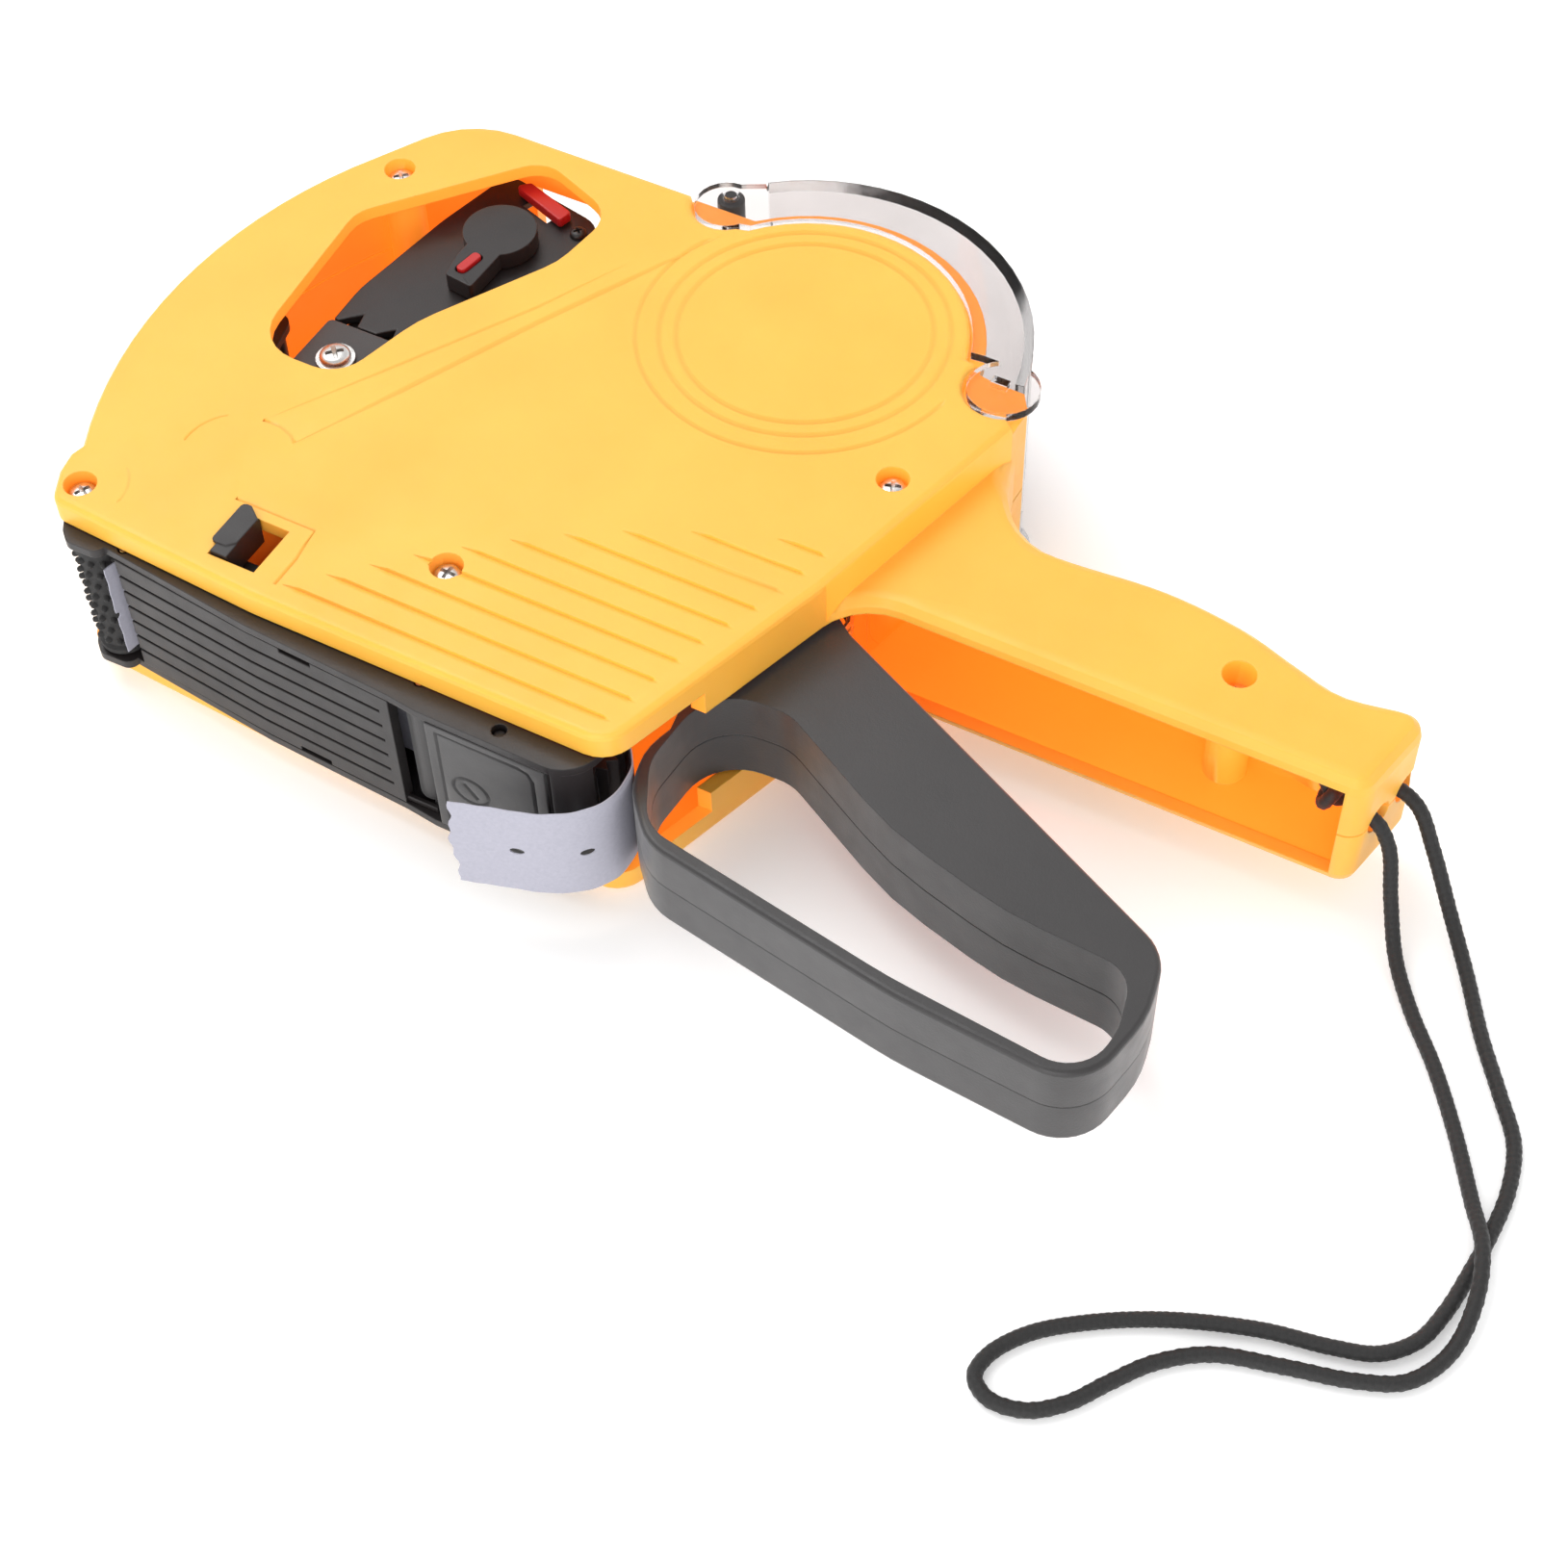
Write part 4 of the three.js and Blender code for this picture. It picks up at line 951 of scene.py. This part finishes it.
# ---- rubber roller with rows of studs ----
def make_applicator():
    """A sleeve with a rim at both ends and rows of small studs between them."""
    low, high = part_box("applicator_roller")
    x, y, z0, z1 = drawn_box("applicator_roller")
    tip = (high.x - low.x) / MM / 2
    root = tip - 0.9
    bore = 1.3
    sides = 36
    profile = [
        (bore, z0), (tip - 0.5, z0), (tip - 0.3, z0 + 0.2), (tip - 0.3, z0 + 1.1), (root, z0 + 1.5),
        (root, z1 - 1.5), (tip - 0.3, z1 - 1.1), (tip - 0.3, z1 - 0.2), (tip - 0.5, z1), (bore, z1),
    ]
    vertices = [
        place(px, py, z)
        for r, z in profile
        for px, py in arc(x, y, r, 0, 360 - 360 / sides, sides - 1)
    ]
    faces = []
    for i in range(len(profile)):
        for k in range(sides):
            a = i * sides + k
            b = i * sides + (k + 1) % sides
            c = (a + sides) % len(vertices)
            d = (b + sides) % len(vertices)
            faces.append((a, b, d, c))
    core = outwards(new_object("core", vertices, faces))
    rows = 8
    studs_in_row = 12
    first_row = 3
    studs = []
    for row in range(rows):
        z = z0 + first_row + (z1 - z0 - 2 * first_row) * row / (rows - 1)
        for k in range(studs_in_row):
            turn = 2 * math.pi * (k + (row % 2) / 2) / studs_in_row
            studs.append(stud(x, y, z, root - 0.3, tip, turn))
    roller = joined([core, *studs], "applicator_roller_shown")
    sharp_over(roller, 40)
    finish_piece(roller, "applicator_roller")


def stud(x, y, z, root, tip, turn):
    """A small rounded stud that stands out from the axis at x, y, z."""
    out = Vector((math.cos(turn), math.sin(turn), 0))
    across = Vector((-math.sin(turn), math.cos(turn), 0))
    centre = Vector((x, y, z))
    sides = 8
    vertices = []
    for reach, r in ((root, 0.62), (tip - 0.25, 0.5), (tip, 0.25)):
        for k in range(sides):
            angle = 2 * math.pi * k / sides
            offset = across * (r * math.cos(angle)) + UP * (r * math.sin(angle))
            vertices.append(place(*(centre + out * reach + offset)))
    faces = []
    for i in range(2):
        for k in range(sides):
            a = i * sides + k
            b = i * sides + (k + 1) % sides
            faces.append((a, b, b + sides, a + sides))
    faces.append(tuple(range(2 * sides, 3 * sides)))
    faces.append(tuple(reversed(range(sides))))
    return outwards(new_object("stud", vertices, faces))


# ---- the other nodes ----
# How far the edges of a piece are rounded, in millimetres.
ROUNDED_EDGES = {
    "base_frame": 0.5, "base_cover": 0.15, "slot_catch": 0.3,
    "head_plate_upper": 0.25, "head_plate_lower": 0.25, "head_block": 0.2,
    "selector_knob": 0.3, "selector_pointer": 0.2, "lock_slider": 0.3, "ink_holder": 0.2,
    "head_washer": 0.1, "feed_wheel": 0.2, "cover_spindle": 0.2,
}


def make_rest():
    """Every node that is shown with its own CAD shape."""
    hidden = {piece for obj in bpy.data.objects for piece in obj.get("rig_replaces", [])}
    for node in frame["nodes"]:
        if node not in hidden:
            shown(node, ROUNDED_EDGES.get(node, 0.0))


# ---- stage and lights, in metres ----
FLOOR_HALF = 4
FLOOR_STEP = 0.1
BACKDROP_FROM = 1.2
FLOOR_GLOW = 0.25
HORIZON = 1.15
ZENITH = 0.75


def make_stage():
    """A pale floor, softly lit from below, that rises smoothly into a backdrop."""
    vertices = []
    for t in range(-30, 31):
        y = t * FLOOR_STEP
        height = max(0.0, y - BACKDROP_FROM) ** 2 * 0.5
        vertices += [(-FLOOR_HALF, y, height), (FLOOR_HALF, y, height)]
    faces = [(i, i + 1, i + 3, i + 2) for i in range(0, len(vertices) - 2, 2)]
    floor = new_object("floor", vertices, faces)
    nodes = Nodes("pale_floor")
    nodes.drive(
        "Base Color", nodes.two_colours(nodes.noise(6, 3), (0.86, 0.86, 0.86), (0.9, 0.9, 0.9)))
    nodes.set("Roughness", 0.8)
    nodes.set("Emission Color", (1, 1, 1, 1))
    nodes.set("Emission Strength", FLOOR_GLOW)
    floor.data.materials.append(nodes.material)


def area_light(name, location, target, size, watts):
    """A round softbox at location, turned to target."""
    data = bpy.data.lights.new(name, "AREA")
    data.shape = "DISK"
    data.size = size
    data.energy = watts
    light = bpy.data.objects.new(name, data)
    bpy.context.collection.objects.link(light)
    light.location = location
    direction = Vector(target) - Vector(location)
    light.rotation_euler = direction.to_track_quat("-Z", "Y").to_euler()


def make_lights():
    """A white studio dome, brighter round the horizon than overhead, and two softboxes."""
    world = bpy.data.worlds.new("studio")
    world.use_nodes = True
    tree = world.node_tree
    coordinates = tree.nodes.new("ShaderNodeTexCoord").outputs["Generated"]
    parts = tree.nodes.new("ShaderNodeSeparateXYZ")
    tree.links.new(coordinates, parts.inputs["Vector"])
    fade = tree.nodes.new("ShaderNodeMapRange")
    fade.inputs["From Min"].default_value = 0.2
    fade.inputs["From Max"].default_value = 0.9
    fade.inputs["To Min"].default_value = HORIZON
    fade.inputs["To Max"].default_value = ZENITH
    tree.links.new(parts.outputs["Z"], fade.inputs["Value"])
    background = tree.nodes["Background"]
    background.inputs["Color"].default_value = (1, 1, 1, 1)
    tree.links.new(fade.outputs["Result"], background.inputs["Strength"])
    bpy.context.scene.world = world
    area_light("front", (0.25, -1.2, 0.45), (0, 0, 0.02), size=1.1, watts=7)
    area_light("key", (-0.6, 0.2, 1.2), (0, 0, 0), size=1.0, watts=8)


# ---- the whole scene ----
make_shells()
for number in range(1, 6):
    pan_screw(f"shell_screw_{number}", 2.4, 1.2, 1.5)
pan_screw("head_screw_small", 1.6, 0.7, 1.3)
pan_screw("head_screw_main", 2.8, 1.5, 1.6)
make_applicator()
make_latch()
make_latch_pin_and_roller()
make_lever()
make_paper()
make_rest()
make_stage()
make_lights()

scene = bpy.context.scene
scene.view_settings.view_transform = "Standard"
